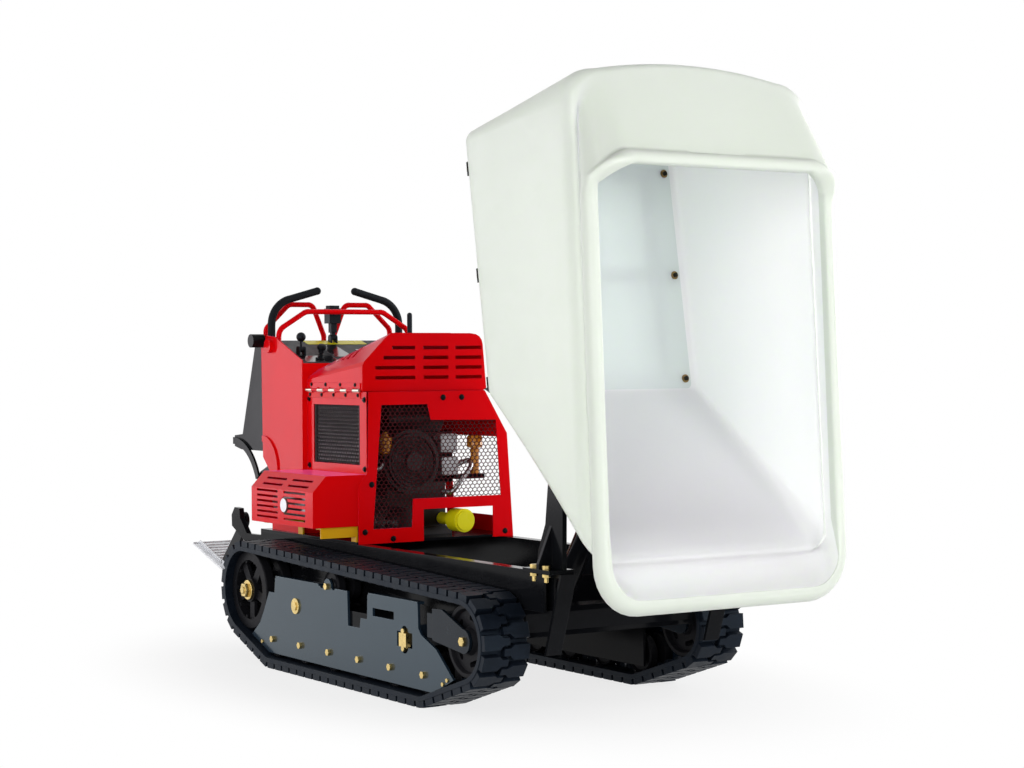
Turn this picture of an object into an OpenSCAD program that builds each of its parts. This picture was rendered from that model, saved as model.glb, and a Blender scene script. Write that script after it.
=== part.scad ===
// Tracked power carrier: a stand-on dumper with rubber tracks and a tipping poly tub.
// Machine coordinates: X forward, Y left, Z up from the ground, X zero at the middle road wheels.

/* [Tracks] */
// Width over both tracks
overall_w = 900; // [860:10:960]
// Width of one rubber track
belt_w = 150; // [144:1:158]
// Thickness of the track's carcass
belt_t = 14; // [10:1:18]
// Height of a tread lug
lug_h = 18; // [12:1:22]
// Length of a tread lug along the track
lug_l = 43; // [38:1:45]
// Pairs of tread lugs round one track
lug_pairs = 68; // [60:1:70]
// Height of the guide horns inside the track
horn_h = 20; // [14:1:24]
// Width of the guide horns
horn_w = 18; // [12:1:22]

/* [Wheels] */
// Radius of a road wheel
road_r = 60; // [52:1:66]
// Distance between road wheels
wheel_pitch = 192.5; // [180:0.5:200]
// Width of a road wheel over both discs
wheel_w = 84; // [78:1:86]
// Gap between a wheel's discs, where the guide horns run
wheel_gap = 30; // [26:1:34]
// Radius of the wheel axles
axle_r = 10; // [8:0.5:14]
// Drive wheel centre, forward
drive_x = -668; // [-690:1:-650]
// Drive wheel centre, height
drive_z = 235; // [225:1:245]
// Radius of the drive wheel
drive_r = 130; // [122:1:134]
// Idler centre, forward
idler_x = 707; // [690:1:725]
// Idler centre, height
idler_z = 212; // [204:1:220]
// Radius of the idler
idler_r = 105; // [98:1:110]
// Width of the drive wheel and the idler
end_wheel_w = 96; // [90:1:98]
// Top roller centre, forward
roller_x = -105; // [-140:1:-80]
// Radius of the top roller
roller_r = 50; // [44:1:54]
// Radius of the drive shaft
shaft_r = 18; // [15:0.5:22]

/* [Track frames] */
// Thickness of the outer side plates
plate_t = 8; // [6:1:9]
// How far the side plate lies inside the track's edge
plate_in = 22; // [20:1:26]
// Top edge of the side plate
plate_top = 292; // [286:1:298]
// Bottom edge of the side plate
plate_bottom = 46; // [42:1:50]
// Thickness of the tension arms
arm_t = 7; // [5:1:8]

/* [Chassis] */
// Gap between the main rails and the tracks
rail_gap = 10; // [6:1:16]
// Width of a main rail
rail_w = 36; // [30:1:40]
// Underside of the main rails
rail_bottom = 300; // [295:1:306]
// Top of the main rails
rail_top = 412; // [406:1:420]
// Rear end of the main rails
rail_rear = -850; // [-870:1:-840]
// Front end of the main rails
rail_front = 900; // [890:1:905]
// Wall of the rails and tubes
tube_wall = 5; // [4:0.5:7]
// Thickness of the engine deck
deck_t = 8; // [6:1:10]

/* [Tub] */
// Length of the tub's flat floor
tub_floor_l = 735; // [715:1:755]
// Half the width of the floor
tub_floor_half = 368; // [360:1:374]
// Half the width of the tub at the top of its walls
tub_top_half = 412; // [406:1:418]
// Angle of the front ramp
ramp_deg = 41; // [39:0.5:43]
// Height of the rear crest
crest_h = 594; // [584:1:600]
// Height of the rim at the splash deck
rim_rear_h = 700; // [690:1:708]
// Height of the rim at the rear end of its sides
rim_side_h = 637; // [628:1:645]
// Height of the rim at the front lip
rim_front_h = 515; // [508:1:522]
// Length from the end of the floor to the front edge of the lip
lip_run = 650; // [640:1:660]
// Length of the splash deck
deck_u = 241; // [225:1:260]
// Half the width of the opening
mouth_half = 379; // [370:1:384]
// Wall of the tub
tub_wall = 8; // [6:0.5:9]
// How far the rear wall bows out
rear_bow = 53; // [30:1:56]
// Tip angle of the tub as it stands
tip_deg = 80.7; // [78:0.1:83]

/* [Tub pivot and lift] */
// Tub pivot, forward
pivot_x = 947.66; // [940:0.01:955]
// Tub pivot, height
pivot_z = 652.72; // [645:0.01:660]
// Pivot ahead of the end of the floor
pivot_run = 273; // [266:1:278]
// Pivot above the floor
pivot_w = 170; // [164:1:174]
// Radius of the pivot pins
pivot_r = 15; // [12:0.5:18]
// Distance from the pivot to the lift pin
crank_r = 110; // [104:1:114]
// Direction of the lift pin from the pivot, in the tub's own frame
crank_deg = 235; // [231:1:239]
// Lift cylinder foot, forward
foot_x = 500; // [490:1:510]
// Lift cylinder foot, height
foot_z = 220; // [215:1:228]
// Radius of the lift pin
lift_pin_r = 9; // [8:0.5:10]
// Room round the lift pin in the rod eye
eye_room = 18; // [17:0.5:19]
// Bore of the lift cylinder
lift_bore_r = 26; // [24:0.5:28]
// Radius of the lift rod
lift_rod_r = 16; // [14:0.5:18]

/* [Engine bay] */
// Front face of the engine bay
panel_x = -163; // [-168:1:-160]
// Sheet thickness
sheet_t = 3; // [2:0.5:4]
// Height of the seam between panel and hood
seam_z = 893; // [885:1:900]
// How far the bay's right wall lies inside the rail's face
bay_in = 38; // [34:1:44]
// Rear wall of the bay
bay_rear = -572; // [-578:1:-566]
// Distance between the cells of the front screen
cell_pitch = 26; // [23:0.5:30]
// Bar between two cells
cell_bar = 4; // [3:0.5:6]
// Top of the hood at its front
hood_top_z = 1080; // [1070:1:1090]
// Outer face of the muffler guard from the middle
guard_out = 445; // [436:1:449]

/* [Console] */
// How far the console's sides lie inside the rail's face
console_in = 20; // [16:1:26]
// Rear of the console
console_rear = -878; // [-886:1:-872]
// Top of the console
console_top = 1080; // [1074:1:1088]
// Sheet thickness of the console
console_t = 4; // [3:0.5:5]
// Radius of the reference bars
bar_r = 9; // [7:0.5:11]
// Radius of the traction grips
grip_r = 13; // [11:0.5:15]
// Radius of the lever pins
lever_pin_r = 5; // [4:0.5:6]

/* [Rear] */
// Platform pivot, forward
step_x = -1050; // [-1060:1:-1044]
// Platform pivot, height
step_z = 436; // [430:1:442]
// Length of the platform plate
step_l = 240; // [220:5:260]
// Tilt of the platform plate
step_deg = 17; // [14:1:20]
// How far the platform's edge lies inside the rail's face
step_in = 6; // [2:1:14]
// Thickness of the thigh pad
pad_t = 46; // [36:1:56]

/* [Hidden] */
$fn = 48;

// Clearances: running fit of a shaft in its bore, gap between turning faces, overlap inside one solid
run_fit = 0.05;
turn_gap = 0.5;
bond = 2;

red = [0.80, 0.03, 0.06];
black = [0.07, 0.07, 0.08];
slate = [0.30, 0.34, 0.40];
zinc = [0.80, 0.68, 0.34];
poly_white = [0.90, 0.92, 0.88];
steel = [0.62, 0.63, 0.65];

// Sides: right is -1, left is +1
belt_out = overall_w / 2;
belt_in = belt_out - belt_w;
belt_mid = belt_out - belt_w / 2;
plate_out = belt_out - plate_in;
inner_plate_in = belt_in + 14;
inner_plate_out = inner_plate_in + plate_t;
rail_out = belt_in - rail_gap;
rail_in = rail_out - rail_w;
bay_right = rail_out - bay_in;
console_half = rail_out - console_in;
step_half = rail_out - step_in;
road_z = road_r + belt_t + lug_h;
function road_x(i) = (i - 3.5) * wheel_pitch;

// The track runs round four circles, clockwise seen from the right side
loop_c = [[drive_x, drive_z], [idler_x, idler_z], [road_x(6), road_z], [road_x(1), road_z]];
loop_r = [drive_r, idler_r, road_r, road_r];
function loop_dir(k) = let (d = loop_c[(k + 1) % 4] - loop_c[k]) d / norm(d);
function loop_lean(k) = (loop_r[k] - loop_r[(k + 1) % 4]) / norm(loop_c[(k + 1) % 4] - loop_c[k]);
function loop_normal(k) = let (d = loop_dir(k), s = loop_lean(k)) d * s + [-d[1], d[0]] * sqrt(1 - s * s);
function loop_start(k, o) = loop_c[k] + (loop_r[k] + o) * loop_normal(k);
function loop_end(k, o) = loop_c[(k + 1) % 4] + (loop_r[(k + 1) % 4] + o) * loop_normal(k);
function loop_ang(k) = atan2(loop_normal(k)[1], loop_normal(k)[0]);
function run_len(k) = norm(loop_end(k, 0) - loop_start(k, 0));
function wrap_deg(k) = (loop_ang((k + 3) % 4) - loop_ang(k) + 720) % 360;
function wrap_len(k, o) = wrap_deg(k) * PI / 180 * (loop_r[k] + o);
function loop_len(o) = run_len(0) + run_len(1) + run_len(2) + run_len(3)
    + wrap_len(0, o) + wrap_len(1, o) + wrap_len(2, o) + wrap_len(3, o);
// Point and outward angle at a distance along the loop
function loop_at(s, o, k = 0) =
    s <= run_len(k)
        ? let (p = loop_start(k, o) + (loop_end(k, o) - loop_start(k, o)) * s / run_len(k))
            [p[0], p[1], loop_ang(k)]
        : let (n = (k + 1) % 4, w = s - run_len(k))
            w <= wrap_len(n, o)
                ? let (a = loop_ang(k) - w / (loop_r[n] + o) * 180 / PI)
                    [loop_c[n][0] + (loop_r[n] + o) * cos(a), loop_c[n][1] + (loop_r[n] + o) * sin(a), a]
                : loop_at(w - wrap_len(n, o), o, n);
// Height of the inside of the top run
function top_run_z(x) = let (a = loop_start(0, 0), b = loop_end(0, 0))
    a[1] + (b[1] - a[1]) * (x - a[0]) / (b[0] - a[0]);
roller_z = top_run_z(roller_x) - roller_r - turn_gap;

// Tub in its own frame: u forward along the floor, w up from it
ramp_slope = tan(ramp_deg);
shoulder_h = 60;
rim_w = 38;
rim_drop = 30;
rim_swell = 4;
front_blend = 110;
mouth_cut_y = 84;
mouth_cut_u = 46;
mouth_turn = 95;
mouth_round = 0.3;
rear_set = 12;
rear_draft = 12;
rear_turn = 35;
front_turn_low = 24;
front_turn_high = 70;
lip_u = tub_floor_l + lip_run;
pivot_u = tub_floor_l + pivot_run;
tub_x = pivot_x - pivot_u * cos(tip_deg) - pivot_w * sin(tip_deg);
tub_z = pivot_z + pivot_u * sin(tip_deg) - pivot_w * cos(tip_deg);
function clamp01(t) = min(1, max(0, t));
function mix(a, b, t) = a + (b - a) * t;
rim_side_u = deck_u + mouth_cut_u;
function rim_h(u) = u < rim_side_u
    ? mix(rim_rear_h, rim_side_h, clamp01((u - deck_u) / mouth_cut_u))
    : mix(rim_side_h, rim_front_h, clamp01((u - rim_side_u) / (lip_u - rim_side_u)));
function wall_h(u) = mix(crest_h, rim_front_h - shoulder_h, clamp01(u / lip_u));
function front_share(u) = clamp01((u - lip_u + 2 * front_blend) / front_blend);
function ramp_u(w) = tub_floor_l + w / ramp_slope;
function ramp_w(u) = (u - tub_floor_l) * ramp_slope;
function wall_half(s) = mix(tub_floor_half, tub_top_half, s);

// Half outline of a slice from the rear middle to the front middle, as [u, y]
rear_steps = 5;
turn_steps = 6;
side_steps = 5;
function slice_half(u0, bow, half, uf, turn_u, turn_y, roundness, front_turn) =
    let (corner_y = half - turn_y, corner_u = u0 - bow * (1 - pow(corner_y / half, 2)))
    concat(
        [for (i = [0:rear_steps - 1]) let (y = corner_y * i / rear_steps)
            [u0 - bow * (1 - pow(y / half, 2)), y]],
        [for (i = [0:turn_steps]) let (t = i / turn_steps, a = 90 * t)
            [mix(corner_u + turn_u * t, corner_u + turn_u * (1 - cos(a)), roundness),
             mix(corner_y + turn_y * t, corner_y + turn_y * sin(a), roundness)]],
        [for (i = [1:side_steps - 1]) [mix(corner_u + turn_u, uf - front_turn, i / side_steps), half]],
        [for (i = [0:turn_steps]) let (a = 90 * i / turn_steps)
            [uf - front_turn + front_turn * sin(a), half - front_turn + front_turn * cos(a)]],
        [[uf, 0]]);
// Whole outline, left half back to the rear, then the right half
function slice_ring(h) = concat(h, [for (i = [len(h) - 2:-1:1]) [h[i][0], -h[i][1]]]);
function lift_ring(ring, heights) = [for (i = [0:len(ring) - 1]) [ring[i][0], ring[i][1], heights[i]]];
function rear_u(s) = rear_set + rear_draft * s;
function front_turn(s) = mix(front_turn_low, front_turn_high, s);
// Outer wall slice at a share of the wall's height, drawn in by an inset
function wall_ring(s, inset) = let (
    front_w = wall_h(lip_u) * s,
    ring = slice_ring(slice_half(inset - rear_u(s), rear_bow * (0.5 + 0.5 * s), wall_half(s) - inset,
        ramp_u(front_w) - inset * 0.3, rear_turn, rear_turn, 1, front_turn(s))))
    lift_ring(ring, [for (p = ring) wall_h(p[0]) * s]);
function cavity_ring(s, inset) = let (
    rise = tub_wall / cos(ramp_deg),
    front_w = tub_wall + (wall_h(lip_u) - tub_wall) * s,
    turn = rear_turn - tub_wall,
    ring = slice_ring(slice_half(tub_wall + inset - rear_u(s), rear_bow * (0.5 + 0.5 * s),
        wall_half(s) - tub_wall - inset, ramp_u(front_w - rise) - inset * 0.3, turn, turn, 1,
        front_turn(s) - tub_wall)))
    lift_ring(ring, [for (p = ring)
        tub_wall + (wall_h(p[0]) - 2 * tub_wall + tub_wall * front_share(p[0])) * s]);
function mouth_ring(grow, rise, front_rise) = let (
    ring = slice_ring(slice_half(deck_u - grow, 0, mouth_half + grow, lip_u - rim_w + grow,
        mouth_cut_u + grow * 0.6, mouth_cut_y + grow * 0.4, mouth_round, mouth_turn + grow)))
    lift_ring(ring, [for (p = ring) rim_h(p[0]) + rise + front_rise * front_share(p[0])]);
floor_fillet = 20;
function fillet_share(w) = w / crest_h;
tub_rings = [
    [for (p = wall_ring(0, floor_fillet)) p],
    wall_ring(fillet_share(floor_fillet * 0.3), floor_fillet * 0.28),
    wall_ring(fillet_share(floor_fillet), 0),
    wall_ring(0.5, 0),
    wall_ring(0.965, 0),
    wall_ring(1, 10),
    mouth_ring(rim_w, -rim_drop, 0),
    mouth_ring(rim_w - 3, -rim_drop * 0.4, 0),
    mouth_ring(rim_w * 0.62, rim_swell, 0),
    mouth_ring(rim_w * 0.2, rim_swell, 2),
    mouth_ring(0, -2, 8),
    mouth_ring(0, 3 - rim_drop, rim_drop - 3),
    cavity_ring(1, 6),
    cavity_ring(0.94, 0),
    cavity_ring(0.5, 0),
    cavity_ring(fillet_share(floor_fillet), 0),
    cavity_ring(fillet_share(floor_fillet * 0.3), floor_fillet * 0.28),
    cavity_ring(0, floor_fillet)];
ring_n = len(tub_rings[0]);
tub_points = [for (r = tub_rings) each r];
tub_last = (len(tub_rings) - 1) * ring_n;
tub_faces = concat(
    [[for (i = [0:ring_n - 1]) i]],
    [for (k = [0:len(tub_rings) - 2], i = [0:ring_n - 1]) let (j = (i + 1) % ring_n)
        each [[k * ring_n + i, (k + 1) * ring_n + i, k * ring_n + j],
              [k * ring_n + j, (k + 1) * ring_n + i, (k + 1) * ring_n + j]]],
    [[for (i = [ring_n - 1:-1:0]) tub_last + i]]);
tub_front_x = max([for (p = tub_points) tub_x + p[0] * cos(tip_deg) + p[2] * sin(tip_deg)]);

// Lift pin on the tub at rest, and the cylinder's line from its foot
lift_u = pivot_u + crank_r * cos(crank_deg);
lift_w = pivot_w + crank_r * sin(crank_deg);
lift_x = tub_x + lift_u * cos(tip_deg) + lift_w * sin(tip_deg);
lift_z = tub_z - lift_u * sin(tip_deg) + lift_w * cos(tip_deg);
// The rod eye stands off the pin at rest, so that it stays round the pin over the whole tip
eye_off = [-16, -2];
lift_len = norm([lift_x + eye_off[0] - foot_x, lift_z + eye_off[1] - foot_z]);
lift_deg = atan2(lift_z + eye_off[1] - foot_z, lift_x + eye_off[0] - foot_x);
eye_hole_r = lift_pin_r + eye_room;
eye_r = eye_hole_r + 9;
barrel_l = 395;

// Platform in its own plane, and the overall length
step_front_x = step_x - 145;
step_front_z = step_z - 180;
step_rear_x = step_front_x - step_l * cos(step_deg);
mid_x = (tub_front_x + step_rear_x) / 2;

module place() { translate([-mid_x, 0, 0]) children(); }
module both_sides() { children(); mirror([0, 1, 0]) children(); }
// Side of a machine part: drawn on the left, mirrored for the right
module on_side(side) { if (side > 0) children(); else mirror([0, 1, 0]) children(); }
// An outline in X and Z, extruded across from y0 to y1
module side_slab(y0, y1) { translate([0, y1, 0]) rotate([90, 0, 0]) linear_extrude(y1 - y0) children(); }
// An outline in Y and Z, extruded forward from x0 to x1
module front_slab(x0, x1) {
    translate([x0, 0, 0]) rotate([90, 0, 90]) linear_extrude(x1 - x0) children();
}
module across(x, z, r, y0, y1) { translate([x, y1, z]) rotate([90, 0, 0]) cylinder(r = r, h = y1 - y0); }
module along(y, z, r, x0, x1) { translate([x0, y, z]) rotate([0, 90, 0]) cylinder(r = r, h = x1 - x0); }
module block(lo, hi) { translate(lo) cube(hi - lo); }
module hex_across(x, z, r, y0, y1) {
    translate([x, y1, z]) rotate([90, 0, 0]) cylinder(r = r, h = y1 - y0, $fn = 6);
}
module in_tub() { translate([tub_x, 0, tub_z]) rotate([0, tip_deg, 0]) children(); }
module in_lift() { translate([foot_x, 0, foot_z]) rotate([0, -lift_deg, 0]) children(); }

// A bent round bar through points in a plane, with slightly swollen arcs at the corners
bend_lap = 2.5;
bend_swell = 0.4;
function seg_dir(p, i) = (p[i + 1] - p[i]) / norm(p[i + 1] - p[i]);
function turn_deg(p, i) = let (a = seg_dir(p, i - 1), b = seg_dir(p, i))
    atan2(a[0] * b[1] - a[1] * b[0], a * b);
function trim(p, i, bend) = i == 0 || i == len(p) - 1 ? 0 : bend * tan(abs(turn_deg(p, i)) / 2);
module bent_bar(p, r, bend) {
    for (i = [0:len(p) - 2]) {
        d = seg_dir(p, i);
        back = i == 0 ? 0 : bend_lap;
        on = i == len(p) - 2 ? 0 : bend_lap;
        a = p[i] + d * (trim(p, i, bend) - back);
        l = norm(p[i + 1] - p[i]) - trim(p, i, bend) - trim(p, i + 1, bend) + back + on;
        translate([a[0], a[1], 0]) rotate([0, 0, atan2(d[1],
            d[0])]) rotate([0, 90, 0]) cylinder(r = r, h = l);
    }
    for (i = [1:len(p) - 2]) {
        t = turn_deg(p, i);
        d = seg_dir(p, i - 1);
        n = [-d[1], d[0]] * sign(t);
        c = p[i] - d * trim(p, i, bend) + n * bend;
        a = atan2(-n[1], -n[0]);
        translate([c[0], c[1], 0]) rotate([0, 0, t > 0 ? a : a + t])
            rotate_extrude(angle = abs(t)) translate([bend, 0]) circle(r = r + bend_swell);
    }
}
// The same bar standing in the plane across the machine at x
module bent_across(x, p, r, bend) { translate([x, 0, 0]) rotate([90, 0, 90]) bent_bar(p, r, bend); }

// Chassis weldment: rails, carriage tubes, lift bracket
carriage_x = 300;
carriage_w = 80;
lift_plate_x = 430;
lift_plate_t = 14;
ear_in = 24;
ear_t = 10;
module rail() {
    difference() {
        block([rail_rear, rail_in, rail_bottom], [rail_front, rail_out, rail_top]);
        block([rail_rear - 1, rail_in + tube_wall, rail_bottom + tube_wall],
            [rail_front + 1, rail_out - tube_wall, rail_top - tube_wall]);
    }
}
module main_frame() {
    color(black) place() {
        both_sides() rail();
        for (x = [-carriage_x, carriage_x]) difference() {
            block([x - carriage_w / 2, -inner_plate_in, rail_bottom - carriage_w],
                [x + carriage_w / 2, inner_plate_in, rail_bottom]);
            block([x - carriage_w / 2 + tube_wall, -inner_plate_in - 1,
                rail_bottom - carriage_w + tube_wall],
                [x + carriage_w / 2 - tube_wall, inner_plate_in + 1, rail_bottom - tube_wall]);
        }
        block([rail_rear, -rail_in, rail_bottom + 20], [rail_rear + 50, rail_in, rail_top - 12]);
        block([lift_plate_x, -rail_in, foot_z - 32], [lift_plate_x + lift_plate_t, rail_in,
            rail_bottom + 40]);
        both_sides() side_slab(ear_in, ear_in + ear_t) {
            translate([foot_x, foot_z]) circle(r = 26);
            translate([lift_plate_x + bond, foot_z - 26]) square([foot_x - lift_plate_x - bond, 52]);
        }
        across(foot_x, foot_z, lift_pin_r + 3, -ear_in - ear_t, ear_in + ear_t);
    }
}

// Front cross beam with a folded lower flange, and the two slanted front bars
beam_x = 725;
beam_d = 80;
beam_bottom = rail_bottom - 78;
beam_wall = 6;
bar_w = 50;
bar_t = 10;
bar_foot_x = rail_front + 95;
bar_low_x = rail_front + 17;
bar_low_z = 185;
module front_beam() {
    color(black) place() {
        side_slab(-rail_out, rail_out) difference() {
            polygon([[beam_x, rail_bottom], [beam_x + beam_d - 12, rail_bottom],
                [beam_x + beam_d, rail_bottom - 14],
                [beam_x + beam_d, beam_bottom + 12], [beam_x + beam_d + 12, beam_bottom],
                    [beam_x, beam_bottom]]);
            polygon([[beam_x + beam_wall, rail_bottom - beam_wall],
                [beam_x + beam_d - 14, rail_bottom - beam_wall],
                [beam_x + beam_d - beam_wall, rail_bottom - 16],
                [beam_x + beam_d - beam_wall, beam_bottom + beam_wall],
                    [beam_x + beam_wall, beam_bottom + beam_wall]]);
        }
        both_sides() side_slab(rail_out - bar_w + 8, rail_out + 8) polygon([
            [rail_front, rail_top], [bar_foot_x, rail_top], [bar_low_x, bar_low_z],
                [bar_low_x - bar_t, bar_low_z],
            [bar_foot_x - bar_t - 3, rail_top - bar_t], [rail_front, rail_top - bar_t]]);
    }
}

// Stands that carry the tub's pivot, with a welded pin each
stand_t = 14;
stand_out = rail_out - 5;
stand_base_t = 12;
stand_rear = 852;
stand_front = 985;
stand_head = 36;
base_z = rail_top + stand_base_t;
module pivot_stands() {
    color(black) place() both_sides() {
        block([stand_rear, rail_in - 4, rail_top], [stand_front, rail_out + 40, base_z]);
        side_slab(stand_out - stand_t, stand_out) {
            polygon([[stand_rear + 4, base_z - bond], [stand_rear + 10, base_z + 44],
                [pivot_x - 50, pivot_z - 110],
                [pivot_x - stand_head, pivot_z], [pivot_x + stand_head, pivot_z],
                    [stand_front - 4, base_z + 60],
                [stand_front - 4, base_z - bond]]);
            translate([pivot_x, pivot_z]) circle(r = stand_head);
        }
        front_slab(pivot_x - 30, pivot_x - 18) polygon([[stand_out - bond, base_z - bond],
            [rail_out + 38, base_z - bond], [rail_out + 38, base_z + 14],
                [stand_out - bond, base_z + 120]]);
        across(pivot_x, pivot_z, pivot_r, stand_out - stand_t - 34, stand_out - bond);
    }
}

// Bolts of the pivot stands, with nuts under the base plate
stand_bolt_y = rail_out + 22;
stand_bolt_x = [stand_rear + 30, stand_rear + 90];
module frame_bolts() {
    color(zinc) place() both_sides() for (x = stand_bolt_x) {
        translate([x, stand_bolt_y, base_z]) cylinder(r = 11, h = 10, $fn = 6);
        translate([x, stand_bolt_y, rail_top - 10]) cylinder(r = 11, h = 10, $fn = 6);
        translate([x, stand_bolt_y, rail_top - 24]) cylinder(r = 6, h = 14.5);
    }
}

// Inner plates, carriage beams and wheel axles of both tracks
beam_rear = -250;
beam_front = 440;
beam_z0 = 168;
beam_z1 = 232;
module track_frames() {
    color(black) place() both_sides() {
        difference() {
            side_slab(inner_plate_in, inner_plate_out) {
                polygon([[road_x(1) - 60, plate_bottom + 14], [road_x(6) + 50, plate_bottom + 14],
                    [road_x(6) + 50, beam_z1 + 20], [roller_x + 90, plate_top], [drive_x + 60, plate_top],
                    [drive_x, drive_z + 70], [drive_x - 60, drive_z], [drive_x, drive_z - 70]]);
                translate([drive_x, drive_z]) circle(r = 72);
            }
            across(drive_x, drive_z, shaft_r + 6, inner_plate_in - 1, inner_plate_out + 1);
        }
        difference() {
            block([beam_rear, inner_plate_out - bond, beam_z0], [beam_front, plate_out - plate_t, beam_z1]);
            block([beam_rear - 1, inner_plate_out + tube_wall, beam_z0 + tube_wall],
                [beam_front + 1, plate_out - plate_t - tube_wall, beam_z1 - tube_wall]);
        }
        for (i = [1:6]) across(road_x(i), road_z, axle_r, inner_plate_out - bond, plate_out - plate_t);
        across(roller_x, roller_z, axle_r, inner_plate_out - bond, plate_out - plate_t);
    }
}

// Outer side plates with their cut-outs, folded top lips and bolt holes
bolt_r = 6;
bolt_room = 0.5;
block_x = 372;
block_z = 181;
block_w = 40;
block_h = 66;
big_bolt_x = -318;
big_bolt_z = 214;
slot_x0 = 23;
slot_x1 = 150;
plate_rear = -639;
plate_front = 644;
module plate_bolt_spots() {
    for (i = [1:6]) translate([road_x(i), road_z]) children();
    translate([roller_x, roller_z]) children();
    translate([big_bolt_x, big_bolt_z]) children();
}
module side_plate_outline() {
    difference() {
        union() {
            polygon([[drive_x + 157, plate_top - 49], [-472, plate_top - 49], [-466, plate_top],
                [448, plate_top],
                [451, 222], [466, 205], [550, 172], [plate_front, 96], [588, plate_bottom + 24],
                [520, plate_bottom], [-514, plate_bottom], [plate_rear, 92], [-577, 138], [-548, 180]]);
            translate([roller_x, roller_z]) circle(r = 24);
        }
        for (s = [-1, 1]) translate([roller_x + s * 38, roller_z + 4]) circle(r = 13);
        polygon([[slot_x0, plate_top + 1], [slot_x0 + 5, 187], [101, 187], [107, 218],
            [slot_x1 - 3, 218], [slot_x1, plate_top + 1]]);
        translate([182, 232]) square([127, 24]);
        translate([block_x - 44, block_z - 22]) square([88, 44]);
        translate([block_x, block_z + 22]) circle(r = 44 * 0.42);
        translate([block_x, block_z - 22]) circle(r = 44 * 0.42);
        plate_bolt_spots() circle(r = bolt_r + bolt_room);
    }
}
module side_plates() {
    color(slate) place() both_sides() {
        side_slab(plate_out - plate_t, plate_out) side_plate_outline();
        block([-462, plate_out - 24, plate_top - bond], [roller_x - 60, plate_out, plate_top + 6]);
        block([slot_x1 + 4, plate_out - 24, plate_top - bond], [446, plate_out, plate_top + 6]);
    }
}

// Zinc bolts of the side plates, and the tension blocks in their windows
head_h = 9;
module plate_bolts() {
    color(zinc) place() both_sides() {
        for (i = [1:6]) plate_bolt(road_x(i), road_z, 11);
        plate_bolt(roller_x, roller_z, 11);
        plate_bolt(big_bolt_x, big_bolt_z, 15);
        across(big_bolt_x, big_bolt_z, 25, plate_out, plate_out + 5);
        side_slab(plate_out - plate_t, plate_out + 8) {
            translate([block_x - block_w / 2, block_z - block_h / 2 + 13]) square([block_w, block_h - 26]);
            for (s = [-1, 1]) translate([block_x, block_z + s * (block_h / 2 - 8)]) circle(r = 8);
        }
        for (p = [[-560, 76], [588, 78], [612, 92]]) across(p[0], p[1], 6, plate_out, plate_out + 4);
    }
}
module plate_bolt(x, z, r) {
    hex_across(x, z, r, plate_out, plate_out + head_h);
    across(x, z, bolt_r, plate_out - plate_t, plate_out + 1);
}

// Sliding block, fork arms and axle of each idler
slide_x0 = 500;
slide_x1 = 562;
arm_out = belt_mid + end_wheel_w / 2 + 4;
arm_in = belt_mid - end_wheel_w / 2 - 4;
arm_end_r = 34;
module arm_outline() {
    polygon([[slide_x0 + 40, idler_z + 76], [slide_x0 + 92, idler_z + 78], [idler_x + 20, idler_z + 26],
        [idler_x, idler_z - arm_end_r], [slide_x0 + 40, idler_z - 14]]);
    translate([idler_x, idler_z]) circle(r = arm_end_r);
}
module tension_arms() {
    color(slate) place() both_sides() {
        block([slide_x0, arm_in, idler_z - 10], [slide_x1, arm_out, idler_z + 60]);
        block([beam_front, belt_mid - 22, idler_z - 20], [slide_x0 + bond, belt_mid + 22, idler_z + 20]);
        block([beam_front, inner_plate_out + 2, beam_z0], [beam_front + 10, plate_out - plate_t - 2,
            beam_z1]);
        side_slab(arm_out - bond, arm_out + arm_t) arm_outline();
        side_slab(arm_in - arm_t, arm_in + bond) arm_outline();
        across(idler_x, idler_z, axle_r + 2, arm_in - bond, arm_out + bond);
        hex_across(idler_x, idler_z, 14, arm_out + arm_t - bond, arm_out + arm_t + 8);
    }
}

// Hydraulic drive motors on the inner plates
motor_in = inner_plate_in - 138;
module drive_motors() {
    color(black) place() both_sides() {
        difference() {
            union() {
                across(drive_x, drive_z, 70, inner_plate_in - 16, inner_plate_in);
                across(drive_x, drive_z, 52, motor_in, inner_plate_in - 14);
                across(drive_x, drive_z, 40, motor_in - 26, motor_in + bond);
                for (s = [-1, 1]) translate([drive_x + s * 22, motor_in + 40,
                    drive_z + 40]) cylinder(r = 11, h = 26);
            }
            across(drive_x, drive_z, shaft_r + run_fit, inner_plate_in - 16 - bond, inner_plate_in + 1);
        }
    }
}

// Rubber tracks: carcass, staggered tread lugs and guide horns
tongue = 82;
lug_in = 1.5;
horn_l = 20;
arc_step = 6;
function loop_arc(n, a0, o) = let (steps = max(1, ceil(wrap_deg(n) / arc_step)))
    [for (i = [1:steps - 1]) let (a = a0 - wrap_deg(n) * i / steps)
        loop_c[n] + (loop_r[n] + o) * [cos(a), sin(a)]];
module belt_area(o) {
    polygon([for (k = [0:3]) each concat([loop_start(k, o), loop_end(k, o)],
        loop_arc((k + 1) % 4, loop_ang(k), o))]);
}
module on_loop(s, o, y) {
    p = loop_at(s, o);
    translate([p[0], y, p[1]]) rotate([0, 90 - p[2], 0]) children();
}
module lug() {
    h = lug_l / 2;
    translate([0, 0, -3]) linear_extrude(lug_h + 3)
        polygon([[-h, 0], [h, 0], [h, 50], [h - 12, 62], [h - 12, tongue], [-h + 10, tongue], [-h + 10, 62],
            [-h, 50]]);
}
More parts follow.
